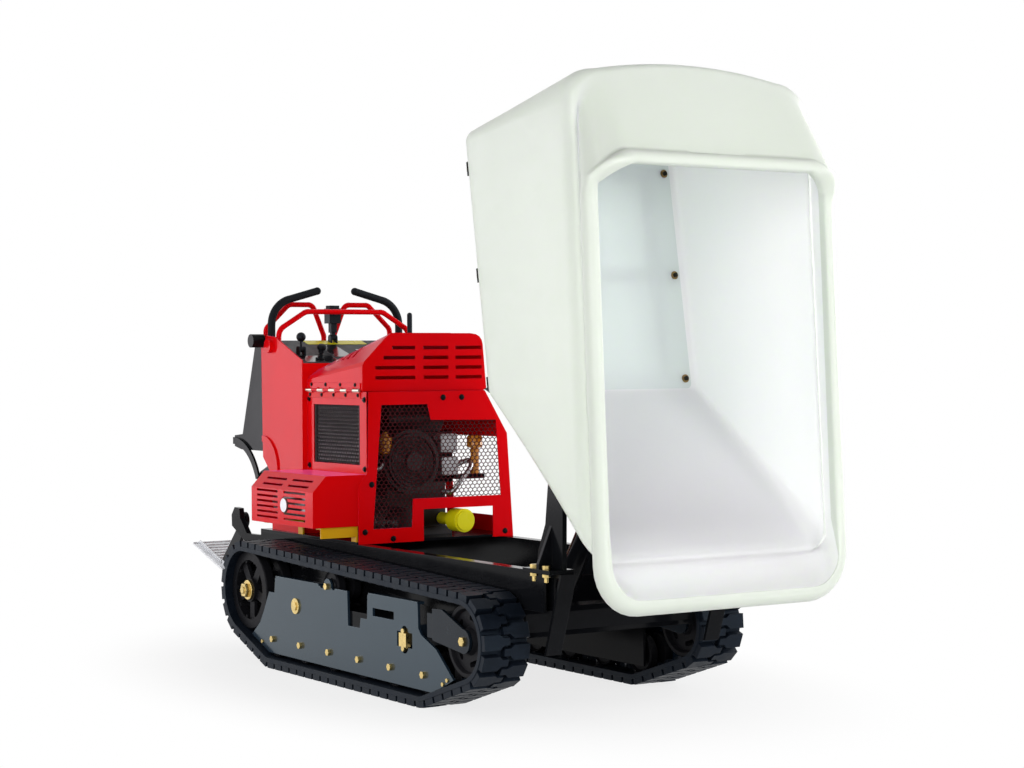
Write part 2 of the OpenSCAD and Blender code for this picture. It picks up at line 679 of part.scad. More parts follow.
module belt() {
    lug_pitch = loop_len(belt_t) / lug_pairs;
    horn_pitch = loop_len(0) / lug_pairs;
    difference() {
        side_slab(belt_in, belt_out) belt_area(belt_t);
        side_slab(belt_in - 1, belt_out + 1) belt_area(0);
    }
    for (i = [0:lug_pairs - 1]) {
        on_loop((i + 0.25) * lug_pitch, belt_t, belt_out - lug_in) mirror([0, 1, 0]) lug();
        on_loop((i + 0.75) * lug_pitch, belt_t, belt_in + lug_in) lug();
        on_loop((i + 0.5) * horn_pitch, 0, belt_mid)
            translate([-horn_l / 2, -horn_w / 2, -horn_h]) cube([horn_l, horn_w, horn_h + 3]);
    }
}
module track_right() { color(black) place() on_side(-1) belt(); }
module track_left() { color(black) place() on_side(1) belt(); }

// Road wheels and top rollers: two discs on a hub, turning on a fixed axle
module twin_wheel(x, z, r, side) {
    half = wheel_w / 2;
    place() on_side(side) translate([x, belt_mid, z]) rotate([-90, 0, 0]) difference() {
        rotate_extrude() polygon([[axle_r + run_fit, -half], [r * 0.42, -half], [r * 0.5, -half + 5],
            [r * 0.82, -half + 5],
            [r - 5, -half], [r - turn_gap, -half + 4], [r - turn_gap, -wheel_gap / 2],
                [r * 0.45, -wheel_gap / 2 + 4],
            [r * 0.45, wheel_gap / 2 - 4], [r - turn_gap, wheel_gap / 2], [r - turn_gap, half - 4],
                [r - 5, half],
            [r * 0.82, half - 5], [r * 0.5, half - 5], [r * 0.42, half], [axle_r + run_fit, half]]);
    }
}
module road_wheel(side, i) { color(black) twin_wheel(road_x(i), road_z, road_r, side); }
module top_roller(side) { color(black) twin_wheel(roller_x, roller_z, roller_r, side); }

// Drive wheel: two spoked rims joined by bars, with shaft and hub nut
drive_spokes = 5;
drive_bars = 10;
rim_d = 32;
module drive_wheel(side) {
    half = end_wheel_w / 2;
    rim_w = (end_wheel_w - wheel_gap) / 2;
    color(black) place() on_side(side) translate([drive_x, belt_mid, drive_z]) rotate([-90, 0, 0]) {
        for (s = [-1, 1]) translate([0, 0, s * (half - rim_w / 2)]) {
            rotate_extrude() polygon([[drive_r - rim_d, -rim_w / 2], [drive_r - turn_gap - 3, -rim_w / 2],
                [drive_r - turn_gap, -rim_w / 2 + 3], [drive_r - turn_gap, rim_w / 2 - 3],
                [drive_r - turn_gap - 3, rim_w / 2], [drive_r - rim_d, rim_w / 2]]);
            for (i = [0:drive_spokes - 1]) rotate([0, 0, i * 360 / drive_spokes + 18])
                translate([30, -16, -6]) cube([drive_r - rim_d - 26, 32, 12]);
        }
        for (i = [0:drive_bars - 1]) rotate([0, 0, i * 360 / drive_bars])
            translate([drive_r - rim_d + 1, 0, -half + 4]) cylinder(r = 8, h = end_wheel_w - 8);
        translate([0, 0, -half]) cylinder(r = 40, h = end_wheel_w);
        translate([0, 0, half - bond]) cylinder(r = 32, h = 8);
        translate([0, 0, half]) cylinder(r = 25, h = 22, $fn = 6);
        translate([0, 0, half]) cylinder(r = 12, h = 27);
        translate([0, 0, -half - (belt_mid - half - inner_plate_in) - 14])
            cylinder(r = shaft_r, h = belt_mid - half - inner_plate_in + 16);
    }
}

// Idler: two rims with windowed discs on a hub
idler_windows = 5;
module idler(side) {
    half = end_wheel_w / 2;
    color(black) place() on_side(side) translate([idler_x, belt_mid, idler_z]) rotate([-90, 0,
        0]) difference() {
        rotate_extrude() polygon([[axle_r + 2 + run_fit, -half], [34, -half], [40, -half + 12],
            [idler_r - 20, -half + 12],
            [idler_r - 14, -half], [idler_r - turn_gap - 3, -half], [idler_r - turn_gap, -half + 3],
            [idler_r - turn_gap, -wheel_gap / 2], [idler_r - horn_h - 12, -wheel_gap / 2 + 2],
            [idler_r - horn_h - 12, wheel_gap / 2 - 2], [idler_r - turn_gap, wheel_gap / 2],
            [idler_r - turn_gap, half - 3], [idler_r - turn_gap - 3, half], [idler_r - 14, half],
            [idler_r - 20, half - 12], [40, half - 12], [34, half], [axle_r + 2 + run_fit, half]]);
        for (i = [0:idler_windows - 1]) rotate([0, 0, i * 360 / idler_windows]) translate([0, 0, -half - 1])
            linear_extrude(end_wheel_w + 2) {
                translate([57, -14]) square([15, 28]);
                for (t = [-14, 14]) translate([64.5, t]) circle(r = 7.5);
            }
    }
}

// Engine bay: deck on the rails, front panel, screen, left panel, cooler panel
deck_z = rail_top + deck_t;
seam_right = -bay_right + 6;
seam_left = rail_out - 103;
bevel_y = rail_out - 18;
bevel_z = 751;
foot_right = -rail_out + 6;
foot_left = rail_out + 4;
panel_bottom = rail_top;
// The bay's openings are drawn for one rail width and follow it
drawn_rail = 290;
bay_scale = rail_out / drawn_rail;
function follow(outline) = [for (p = outline) [p[0] * bay_scale, p[1]]];
module engine_deck() {
    color(black) place() block([rail_rear, -rail_out, rail_top], [panel_x - sheet_t, rail_out, deck_z]);
}
mesh_outline = follow([[-200, 851], [-30, 851], [-18, 800], [229, 796], [247, 549], [-86, 549], [-90, 458],
    [-232, 458]]);
notch_y0 = -47 * bay_scale;
notch_y1 = 216 * bay_scale;
notch_z = 514;
module front_panel() {
    color(red) place() front_slab(panel_x - sheet_t, panel_x) difference() {
        polygon([[foot_right, panel_bottom], [notch_y0, panel_bottom], [notch_y0, notch_z],
            [notch_y1, notch_z],
            [notch_y1, panel_bottom], [foot_left, panel_bottom], [bevel_y, bevel_z], [seam_left, seam_z],
            [seam_right, seam_z], [seam_right - 4, 640], [foot_right, 600]]);
        polygon(mesh_outline);
    }
}
// Honeycomb screen behind the front panel: whole cells inside the panel's opening
screen_t = 2;
screen_lap = 9;
cell_r = (cell_pitch - cell_bar) / sqrt(3);
row_step = cell_pitch * sqrt(3) / 2;
function cell_fits(y, z) = let (m = cell_r)
    z > 458 + m && z < 851 - m && y > mix(-200, -232, (851 - z) / 393) + m
        && (y < mix(-30, -18, (851 - z) / 51) - m || y < -30 - m
            || (z < 799 - m && z > 549 + m && y < 229 + (796 - z) * 0.073 - m))
        && (z > 549 + m || y < -88 - m);
cells = [for (r = [0:22], q = [0:30])
    let (y = -240 + q * cell_pitch + (r % 2) * cell_pitch / 2, z = 462 + r * row_step)
    if (cell_fits(y / bay_scale, z)) [y, z]];
screen_outline = follow([[-209, 860], [-24, 860], [-11, 809], [237, 805], [257, 540], [-78, 540],
    [-81, 449],
    [-242, 449]]);
module front_screen() {
    points = concat(screen_outline,
        [for (c = cells, k = [0:5]) c + cell_r * [sin(k * 60), cos(k * 60)]]);
    rims = [for (i = [0:len(cells) - 1]) [for (k = [0:5]) len(screen_outline) + i * 6 + k]];
    color(black) place() front_slab(panel_x - sheet_t - screen_t, panel_x - sheet_t)
        polygon(points, concat([[for (i = [0:len(screen_outline) - 1]) i]], rims));
}
module left_panel() {
    color(red) place() difference() {
        front_slab(bay_rear, panel_x - sheet_t - screen_t) polygon([[seam_left, seam_z], [bevel_y, bevel_z],
            [foot_left - 2, deck_z], [foot_left - 2 - sheet_t, deck_z],
                [bevel_y - sheet_t - 1, bevel_z - 1],
            [seam_left - sheet_t, seam_z - 1]]);
        block([bay_rear + 46, bevel_y - 30, 474], [panel_x - 44, foot_left + 10, 738]);
    }
}
window_x0 = -526;
window_x1 = -212;
window_z0 = 660;
window_z1 = 850;
cooler_bottom = 632;
module cooler_panel() {
    color(red) place() side_slab(-bay_right, -bay_right + sheet_t) difference() {
        translate([bay_rear, cooler_bottom]) square([panel_x - sheet_t - screen_t - bay_rear,
            seam_z - cooler_bottom]);
        translate([window_x0, window_z0]) square([window_x1 - window_x0, window_z1 - window_z0]);
    }
}
cooler_tubes = 16;
module oil_cooler() {
    core_out = -bay_right + sheet_t;
    pitch = (window_z1 - window_z0) / cooler_tubes;
    color(steel) place() {
        for (x = [window_x0 - 14, window_x1 - 12])
            block([x, core_out, window_z0 - 14], [x + 26, core_out + 44, window_z1 + 14]);
        for (i = [0:cooler_tubes - 1])
            block([window_x0 + 10, core_out + 4, window_z0 + (i + 0.25) * pitch],
                [window_x1 - 10, core_out + 36, window_z0 + (i + 0.75) * pitch]);
    }
}

// Muffler under its slotted guard on the right side
guard_x0 = -600;
guard_x1 = panel_x - sheet_t;
guard_bottom = 470;
guard_side_z = 582;
guard_top = 632;
guard_ledge = 398;
guard_in = bay_right;
outlet_x = -362;
outlet_z = 533;
module guard_shape() {
    polygon([[-guard_in, guard_bottom], [-guard_out, guard_bottom], [-guard_out, guard_side_z],
        [-guard_ledge, guard_top], [-guard_in, guard_top]]);
}
module guard_space() {
    t = sheet_t;
    polygon([[-guard_in + 1, guard_bottom - 1], [-guard_out + t, guard_bottom - 1],
        [-guard_out + t, guard_side_z - 1],
        [-guard_ledge, guard_top - t - 1], [-guard_ledge + 1, guard_top - t],
            [-guard_in + 1, guard_top - t]]);
}
module muffler_guard() {
    color(red) place() difference() {
        front_slab(guard_x0, guard_x1) guard_shape();
        front_slab(guard_x0 + sheet_t, guard_x1 - sheet_t) guard_space();
        block([guard_x0 - 1, -console_half - turn_gap, guard_bottom - 1], [bay_rear, 0, guard_top + 1]);
        for (i = [0:5], x = [guard_x0 + 40, guard_x0 + 232])
            block([x, -guard_out - 1, guard_bottom + 16 + i * 17],
                [x + 150, -guard_out + 5, guard_bottom + 23 + i * 17]);
        across(outlet_x, outlet_z, 27, -guard_out - 1, -guard_out + 8);
        for (i = [0:1], x = [guard_x0 + 60, guard_x0 + 240])
            translate([x, -(guard_out + guard_ledge) / 2, (guard_side_z + guard_top) / 2]) rotate([45, 0,
                0])
                translate([0, -20 + i * 24, -14]) cube([140, 9, 28]);
    }
}
module muffler() {
    color(steel) place() {
        along(-345, outlet_z, 48, guard_x0 + 50, panel_x - 60);
        for (x = [guard_x0 + 44, panel_x - 66]) along(-345, outlet_z, 44, x, x + 12);
        across(outlet_x, outlet_z, 22, -guard_out - 4, -345);
        block([-420, -310, outlet_z - 14], [-392, -engine_half, outlet_z + 14]);
    }
}
module guard_bracket() {
    color(zinc) place() {
        for (x = [panel_x - 40, bay_rear + 2]) {
            block([x, -guard_out + 30, guard_bottom - 6], [x + 32, -rail_out + 6, guard_bottom]);
            block([x, -rail_out, deck_z], [x + 32, -rail_out + 6, guard_bottom - 3]);
        }
        block([panel_x - 12, -guard_out + 30, guard_bottom - 34],
            [panel_x - 8, -rail_out + 3, guard_bottom - 3]);
    }
}

// Hood on a piano hinge along the bay's right wall
hinge_y = -bay_right - 6;
hinge_z = seam_z + 4;
hinge_x0 = bay_rear + 6;
hinge_n = 9;
hinge_step = (panel_x - 40 - hinge_x0) / hinge_n;
hinge_pin_r = 2.5;
knuckle_r = 5;
module hinge_leaf(z0, z1) {
    block([hinge_x0, -bay_right - 3, z0], [hinge_x0 + hinge_n * hinge_step, -bay_right, z1]);
}
module hood_hinge() {
    color(steel) place() {
        hinge_leaf(seam_z - 22, hinge_z - knuckle_r - 1);
        along(hinge_y, hinge_z, hinge_pin_r, hinge_x0, hinge_x0 + hinge_n * hinge_step);
        for (i = [0:2:hinge_n - 1]) {
            x0 = hinge_x0 + i * hinge_step + turn_gap;
            x1 = hinge_x0 + (i + 1) * hinge_step - turn_gap;
            along(hinge_y, hinge_z, knuckle_r, x0, x1);
            block([x0, hinge_y - 1, hinge_z - knuckle_r - 4], [x1, -bay_right, hinge_z - knuckle_r + 1]);
        }
    }
}
hood_x = panel_x - 30;
hood_gap = 1.5;
hood_base = seam_z + hood_gap;
hood_front = concat([[-bay_right, hood_base], [-bay_right, 974], [-bay_right + 8, 990]],
    follow([[-164, 1068],
    [-146, hood_top_z], [150, hood_top_z], [172, hood_top_z - 3], [186, hood_top_z - 10],
        [195, hood_top_z - 22],
    [199, hood_top_z - 36], [212, hood_base]]));
hood_rear = concat([[-bay_right, hood_base], [-bay_right, 930], [-bay_right + 8, 941]], follow([[-210, 964],
    [-198, 969], [150, 980], [172, 978], [186, 972], [195, 962], [199, 950], [212, hood_base]]));
hood_mid = -20;
function shrink(p, t) = [p[0] + (p[0] < hood_mid ? t : -t), p[1] > hood_base ? p[1] - t : p[1] - 1];
module hood_body(t) {
    hull() {
        front_slab(hood_x - t - 0.1, hood_x - t) polygon([for (p = hood_front) t > 0 ? shrink(p, t) : p]);
        front_slab(bay_rear + t, bay_rear + t + 0.1) polygon([for (p = hood_rear) t > 0 ? shrink(p,
            t) : p]);
    }
}
// Raised plate along the middle of the hood's top
crown_y0 = -130;
crown_y1 = 90;
crown_front = [hood_x - 24, hood_top_z - 9];
crown_rear = [bay_rear + 80, 996];
module hood_crown() {
    hull() for (c = [crown_front, crown_rear])
        block([c[0], crown_y0 * bay_scale, c[1]], [c[0] + 2, crown_y1 * bay_scale, c[1] + 10]);
}
slot_h = 11;
slot_cols = [[-204, 147], [-27, 94], [94, 100]] * bay_scale;
module hood() {
    color(red) place() {
        difference() {
            hood_body(0);
            hood_body(sheet_t);
            for (c = slot_cols, i = [0:3])
                block([hood_x - 8, c[0] + (c[0] < -100 && i == 3 ? 62 : 0)
                    + (c[0] < -100 && i == 2 ? 30 : 0),
                        hood_base + 37 + i * 32],
                    [hood_x + 1, c[0] + c[1], hood_base + 37 + slot_h + i * 32]);
            for (i = [0:3]) translate([bay_rear + 130 + i * 36, -214 * bay_scale, 985]) cube([15, 60, 120]);
        }
        hood_crown();
        hinge_leaf(hinge_z + knuckle_r + 1, hinge_z + 24);
        for (i = [1:2:hinge_n - 1]) {
            x0 = hinge_x0 + i * hinge_step + turn_gap;
            x1 = hinge_x0 + (i + 1) * hinge_step - turn_gap;
            difference() {
                union() {
                    along(hinge_y, hinge_z, knuckle_r, x0, x1);
                    block([x0, hinge_y - 1, hinge_z + knuckle_r - 1],
                        [x1, -bay_right, hinge_z + knuckle_r + 4]);
                }
                along(hinge_y, hinge_z, hinge_pin_r + run_fit, x0 - 1, x1 + 1);
            }
        }
    }
}

// Engine with its blower housing, heads, air cleaner and tank
engine_half = 110;
engine_x = -290;
fan_x = -236;
fan_y = -40;
fan_z = 664;
module engine() {
    color(black) place() {
        block([-500, -130, deck_z], [-280, 130, deck_z + 26]);
        block([-480, -engine_half, deck_z + 24], [engine_x, engine_half, 600]);
        along(fan_y, fan_z, 104, -330, fan_x - 14);
        difference() {
            along(fan_y, fan_z, 92, fan_x - 16, fan_x);
            along(fan_y, fan_z, 78, fan_x - 8, fan_x + 1);
        }
        along(fan_y, fan_z, 30, fan_x - 10, fan_x + 6);
        for (s = [-1, 1]) translate([-385, s * 60, 600]) rotate([s * -40, 0, 0]) {
            for (i = [0:5]) translate([-60, -60, i * 20 - 10]) cube([120, 120, 11]);
            translate([-44, -44, -20]) cube([88, 88, 130]);
        }
        across(-420, 805, 58, -60, 150);
        block([-440, 20, 690], [-400, 70, 800]);
        along(-70, 470, 46, -300, -214);
    }
}
filter_y = 96;
filter_z = 472;
module oil_filter() {
    color(zinc) place() {
        along(filter_y, filter_z, 38, -205, -146);
        along(filter_y, filter_z, 32, -148, -138);
        along(filter_y, filter_z, 20, engine_x, -203);
    }
}

// Console: side plates, front and rear walls, bars and lever stubs
console_low = 600;
console_step_x = console_rear + 78;
side_pts = [[bay_rear - 1, deck_z], [bay_rear - 1, 994], [console_rear + 108, console_top - 6],
    [console_rear + 40, console_top], [console_rear, 1040],
    [console_rear + 8, 664], [console_step_x, console_low], [console_step_x, deck_z]];
lever_x = console_rear + 41;
lever_z = 1070;
rib_r = 105;
module console() {
    color(red) place() {
        both_sides() {
            side_slab(console_half - console_t, console_half) polygon(side_pts);
            across(lever_x, lever_z - 14, lever_pin_r + 3, console_half - console_t - 36, console_half - 1);
            translate([console_rear + 12, console_half + 6, 622]) rotate([90, 0,
                0]) rotate_extrude(angle = 90)
                translate([rib_r - 11, 0]) square([22, 7]);
            across(console_rear + 72, 1044, 24, console_half - 1, console_half + 14);
        }
        block([bay_rear - 1 - console_t, -console_half + 1, deck_z], [bay_rear - 1, console_half - 1, 985]);
        block([console_rear + 10, -console_half + 1, 660], [console_rear + 10 + console_t,
            console_half - 1, 1038]);
        block([console_step_x - console_t, -console_half + 1, deck_z],
            [console_step_x, console_half - 1, console_low + 4]);
    }
}
// Dark dashboard plate with lever forks
dash_x0 = console_rear + 28;
dash_x1 = bay_rear - 1 - console_t - 0.5;
dash_z0 = 1063;
dash_fall = 0.3;
dash_deg = atan(dash_fall);
function dash_z(x) = dash_z0 - (x - dash_x0) * dash_fall;
throttle = [console_rear + 188, 57 - console_half];
choke = [console_rear + 188, 132 - console_half];
dump = [console_rear + 52, -20];
brake = [console_rear + 143, console_half - 34];
notch_x = console_rear + 72;
notch_w = 42;
fork_h = 16;
fork_in = 8.3;
module fork(x, y) {
    for (s = [-1, 1]) side_slab(y + s * (fork_in + 2.5) - 2.5, y + s * (fork_in + 2.5) + 2.5) {
        translate([x, dash_z(x) + fork_h]) circle(r = 11);
        translate([x - 11, dash_z(x) - 3]) square([22, fork_h + 3]);
    }
    across(x, dash_z(x) + fork_h, lever_pin_r, y - fork_in - bond, y + fork_in + bond);
}
module control_panel() {
    inner = console_half - console_t;
    color(black) place() difference() {
        union() {
            side_slab(-inner, inner) polygon([[dash_x0, dash_z0], [dash_x1, dash_z(dash_x1)],
                [dash_x1, dash_z(dash_x1) - 5], [dash_x0, dash_z0 - 5]]);
            fork(throttle[0], throttle[1]);
            fork(dump[0], dump[1]);
            fork(brake[0], brake[1]);
        }
        for (s = [-1, 1]) translate([dash_x0 - 1, s * (inner - notch_w / 2) - notch_w / 2 - 1,
            dash_z0 - 30])
            cube([notch_x - dash_x0 + 1, notch_w + 2, 60]);
        translate([choke[0], choke[1], dash_z(choke[0])]) rotate([0, dash_deg, 0]) translate([0, 0, -20])
            cylinder(r = 6 + run_fit, h = 40);
    }
}
// Red tube bars that the hands rest against
wide_bar_x = console_rear + 103;
wide_bar_half = console_half - 16;
loop_bar_x = console_rear - 6;
loop_bar_half = console_half - 26;
wide_foot = dash_z(wide_bar_x) - 1;
module reference_bars() {
    color(red) place() {
        bent_across(wide_bar_x, [[-wide_bar_half, wide_foot], [-wide_bar_half, 1098], [-150, 1161],
            [150, 1161],
            [wide_bar_half, 1098], [wide_bar_half, wide_foot]], bar_r, 40);
        both_sides() bent_across(loop_bar_x - bar_r, [[loop_bar_half, pad_top[1]], [loop_bar_half, 1104],
            [156, 1188], [64, 1188], [20, 1080], [20, pad_top[1]]], bar_r, 26);
    }
}

// Levers: hub on a pin, stem and grip
module hub(x, y, z, r, w) {
    difference() {
        across(x, z, r, y - w / 2, y + w / 2);
        across(x, z, lever_pin_r + run_fit, y - w, y + w);
    }
}
grip_bend = 90;
grip_y = console_half - console_t - 16;
module traction_lever(side) {
    z = lever_z - 14;
    color(black) place() on_side(side) {
        difference() {
            across(lever_x, z, 18, grip_y - 12, grip_y + 12);
            across(lever_x, z, lever_pin_r + 3 + run_fit, grip_y - 20, grip_y + 20);
        }
        bent_across(lever_x, [[grip_y, z + 15], [grip_y, 1186], [grip_y - 176, 1234]], grip_r, grip_bend);
        translate([lever_x, grip_y - 176, 1234]) sphere(r = grip_r + bend_swell);
    }
}
module dump_lever() {
    z = dash_z(dump[0]) + fork_h;
    color(black) place() translate([dump[0], dump[1], z]) {
        translate([-dump[0], -dump[1], -z]) hub(dump[0], dump[1], z, 10, 2 * fork_in - 1);
        translate([-7, -7, 8]) cube([14, 14, 12]);
        translate([-11, -11, 18]) cube([22, 22, 34]);
        translate([-20, -22, 50]) cube([40, 44, 52]);
        translate([-16, -18, 100]) cube([32, 36, 12]);
    }
}
module throttle_lever() {
    z = dash_z(throttle[0]) + fork_h;
    color(black) place() {
        hub(throttle[0], throttle[1], z, 10, 2 * fork_in - 1);
        translate([throttle[0], throttle[1], z + 8]) cylinder(r = 4, h = 30);
        translate([throttle[0], throttle[1], z + 42]) sphere(r = 16);
    }
}
module choke_knob() {
    color(black) place() translate([choke[0], choke[1], dash_z(choke[0])]) rotate([0, dash_deg, 0]) {
        translate([0, 0, -34]) cylinder(r = 6, h = 50);
        translate([0, 0, 6]) cylinder(r = 10, h = 12);
        translate([0, 0, 16]) rotate_extrude() polygon([[0, 0], [13, 0], [16, 5], [16, 13], [11, 18],
            [0, 18]]);
    }
}
module brake_lever() {
    z = dash_z(brake[0]) + fork_h;
    color(black) place() {
        hub(brake[0], brake[1], z, 10, 2 * fork_in - 1);
        translate([brake[0] - 6, brake[1] - 5, z + 8]) cube([12, 10, 40]);
        translate([brake[0], brake[1], z + 44]) cylinder(r = 9, h = 62);
        translate([brake[0], brake[1], z + 106]) sphere(r = 9);
    }
}

// Thigh pad on its black bracket, with bumpers and the curved arms below it
pad_half = console_half - 46;
pad_top = [console_rear - 40, 1036];
pad_low = [console_rear - 122, 704];
bracket_t = 4;
bracket_out = console_half - console_t;
wall_x = console_rear + 10;
arm_r = 208;
pad_arm_c = [console_rear - 222, 506];
module pad_bracket() {
    color(black) place() {
        both_sides() {
            side_slab(bracket_out - bracket_t, bracket_out) {
                polygon([[wall_x, 1036], [console_rear, 1040], [console_rear - 56, 1046],
                    [console_rear - 160, 738], [console_rear - 224, 732], [console_rear - 224, 694],
                    [console_rear - 170, 684], [wall_x, 684]]);
                translate([console_rear, 0]) polygon([[93, 655], [93, 615], [-22, 570], [-47, 585],
                    [-22, 612]]);
            }
            across(console_rear + 12, 1062, 23, console_half, console_half + 46);
            translate([pad_arm_c[0], bracket_out + 8, pad_arm_c[1]]) rotate([90, 0, 0])
                rotate([0, 0, 24]) rotate_extrude(angle = 66) translate([arm_r - 12, 0]) square([24, 8]);
        }
        side_slab(-bracket_out + 1, bracket_out - 1)
            polygon([pad_top, pad_top + [bracket_t, 0], pad_low + [bracket_t, 0], pad_low]);
        block([pad_top[0], -bracket_out + 1, pad_top[1] - bracket_t],
            [wall_x, bracket_out - 1, pad_top[1]]);
    }
}
// Padded cushion: crowned face, sides drawn in, flat back on the bracket
pad_n = 12;
pad_m = 12;
function pad_edge(t) = 1 - 0.035 * (1 - pow(2 * t - 1, 2));
function pad_point(i, j) = let (
    v = i / pad_n, t = j / pad_m,
    half = pad_half * pad_edge(v),
    dome = pow(max(0, 1 - pow(2 * t - 1, 6)), 0.5) * pow(max(0, 1 - pow(2 * v - 1, 8)), 0.5),
    crown = 1 + 0.22 * (1 - pow(2 * t - 1, 2)) * (1 - pow(2 * v - 1, 2)),
    back = mix(pad_top, pad_low, 0.02 + 0.96 * v))
    [back[0] - pad_t * 0.82 * crown * (0.25 + 0.75 * dome), half * (2 * t - 1), back[1]];
function pad_back(i, j) = let (v = i / pad_n, t = j / pad_m, back = mix(pad_top, pad_low, 0.02 + 0.96 * v))
    [back[0], pad_half * pad_edge(v) * (2 * t - 1), back[1]];
pad_points = concat([for (i = [0:pad_n], j = [0:pad_m]) pad_point(i, j)],
    [for (i = [0:pad_n], j = [0:pad_m]) pad_back(i, j)]);
pad_row = pad_m + 1;
pad_half_n = (pad_n + 1) * pad_row;
function quad(a, b, c, d) = [[a, b, c], [a, c, d]];
pad_faces = concat(
    [for (i = [0:pad_n - 1], j = [0:pad_m - 1]) let (a = i * pad_row + j)
        each quad(a, a + pad_row, a + pad_row + 1, a + 1)],
    [for (i = [0:pad_n - 1], j = [0:pad_m - 1]) let (a = pad_half_n + i * pad_row + j)
        each quad(a, a + 1, a + pad_row + 1, a + pad_row)],
    [for (i = [0:pad_n - 1]) let (a = i * pad_row, b = pad_half_n + a)
        each quad(a, b, b + pad_row, a + pad_row)],
    [for (i = [0:pad_n - 1]) let (a = i * pad_row + pad_m, b = pad_half_n + a)
        each quad(a, a + pad_row, b + pad_row, b)],
    [for (j = [0:pad_m - 1]) let (b = pad_half_n + j) each quad(j, j + 1, b + 1, b)],
    [for (j = [0:pad_m - 1]) let (a = pad_n * pad_row + j, b = pad_half_n + a) each quad(a, b, b + 1,
        a + 1)]);
module thigh_pad() {
    color(black) place() translate([-0.3, 0, 0]) polyhedron(pad_points, pad_faces);
}

// Operator platform folding up on two arms
step_arm_y = rail_out - 34;
step_arm_t = 14;
step_pin_r = 14;
module platform_bracket() {
    color(black) place() both_sides() {
        side_slab(rail_out - 18, rail_out) {
            polygon([[rail_rear, rail_bottom + 10], [rail_rear, rail_top - 14],
                [step_x + 90, rail_top - 16],
                [step_x + 36, step_z + 10], [step_x + 30, step_z + 44], [step_x - 8, step_z + 46],
                [step_x - 32, step_z + 18], [step_x - 30, step_z - 20], [step_x, step_z - 34]]);
        }
        across(step_x, step_z, step_pin_r, step_arm_y - step_arm_t / 2, rail_out - 16);
    }
}
plate_lip = 8;
edge_w = 26;
edge_h = 14;
tread_w = 92;
tread_pitch = (2 * step_half - 2 * edge_w - tread_w - 20) / 3;
module platform() {
    n = [sin(step_deg), cos(step_deg)];
    rear = [step_rear_x, step_front_z + step_l * sin(step_deg)];
    front = [step_front_x, step_front_z];
    color(steel) place() {
        both_sides() difference() {
            side_slab(step_arm_y - step_arm_t / 2, step_arm_y + step_arm_t / 2 - 1) {
                translate([step_x, step_z]) circle(r = 28);
                polygon([[step_x - 26, step_z - 10], [step_x + 14, step_z - 24], front + [34, -2],
                    front + [-20, 0],
                    front + [-30, 26]]);
            }
            across(step_x, step_z, step_pin_r + run_fit, step_arm_y - step_arm_t, step_arm_y + step_arm_t);
        }
        side_slab(-step_half, step_half) polygon([front + [36, -11], rear, rear + n * plate_lip,
            rear + n * plate_lip + [5, -1], rear + n * 5 + [5, -1], front + [36, -5]]);
        both_sides() side_slab(step_half - edge_w, step_half - edge_w + 5) polygon([front + [-40, 12],
            rear + [8, 1],
            rear + [8, 1] + n * edge_h, front + [-40, 12] + n * edge_h]);
        for (i = [0:8], k = [-3:2:3])
            translate([front[0] - 8 - i * 24, k * tread_pitch / 2,
                front[1] + (8 + i * 24) * tan(step_deg) + 3])
                rotate([0, step_deg, 0]) translate([-7, -tread_w / 2, 0]) cube([10, tread_w, 6]);
    }
}

// Poly tub
module tub() { color(poly_white) place() in_tub() polyhedron(tub_points, tub_faces); }

// Steel frame under the tub: rails, cross tubes, ramp plate, pivot ears, lift ears
frame_tube = 40;
frame_depth = 50;
frame_y = 250;
cross_u = [0.1075, 0.5265, 0.948] * tub_floor_l;
cross_half = 334;
ramp_gap = 0.5;
ramp_plate_t = 6;
ramp_plate_half = 345;
ramp_plate_end = lip_u - 150;
ear_y0 = stand_out - stand_t - 26;
ear_y1 = stand_out - stand_t - 2;
function under_ramp(u, d) = [u + d * sin(ramp_deg), ramp_w(u) - d * cos(ramp_deg)];
module ear_outline(c, r) {
    translate(c) circle(r = r);
    polygon([c + [-r, 0], under_ramp(c[0] - r - 6, ramp_gap + 2), under_ramp(c[0] + r - 10, ramp_gap + 2),
        c + [r * 0.8, r * 0.6]]);
}
module tub_frame() {
    color(black) place() in_tub() {
        both_sides() {
            block([60, frame_y - frame_tube / 2, -frame_depth],
                [tub_floor_l - 8, frame_y + frame_tube / 2, 0]);
            difference() {
                side_slab(ear_y0, ear_y1) ear_outline([pivot_u, pivot_w], stand_head);
                across(pivot_u, pivot_w, pivot_r + run_fit, ear_y0 - 1, ear_y1 + 1);
            }
            side_slab(ear_in, ear_in + ear_t) ear_outline([lift_u, lift_w], 22);
        }
        for (u = cross_u) difference() {
            block([u - frame_tube / 2, -cross_half, -frame_depth], [u + frame_tube / 2, cross_half, 0]);
            block([u - frame_tube / 2 + tube_wall, -cross_half - 1, -frame_depth + tube_wall],
                [u + frame_tube / 2 - tube_wall, cross_half + 1, -tube_wall]);
        }
        side_slab(-ramp_plate_half, ramp_plate_half) polygon([under_ramp(tub_floor_l - 6, ramp_gap),
            under_ramp(ramp_plate_end, ramp_gap), under_ramp(ramp_plate_end, ramp_gap + ramp_plate_t),
            under_ramp(tub_floor_l - 6, ramp_gap + ramp_plate_t), [tub_floor_l - 26, -frame_depth],
            [tub_floor_l - 26, -ramp_gap]]);
        across(lift_u, lift_w, lift_pin_r, -ear_in - ear_t, ear_in + ear_t);
    }
}
tub_bolt_y = 320;
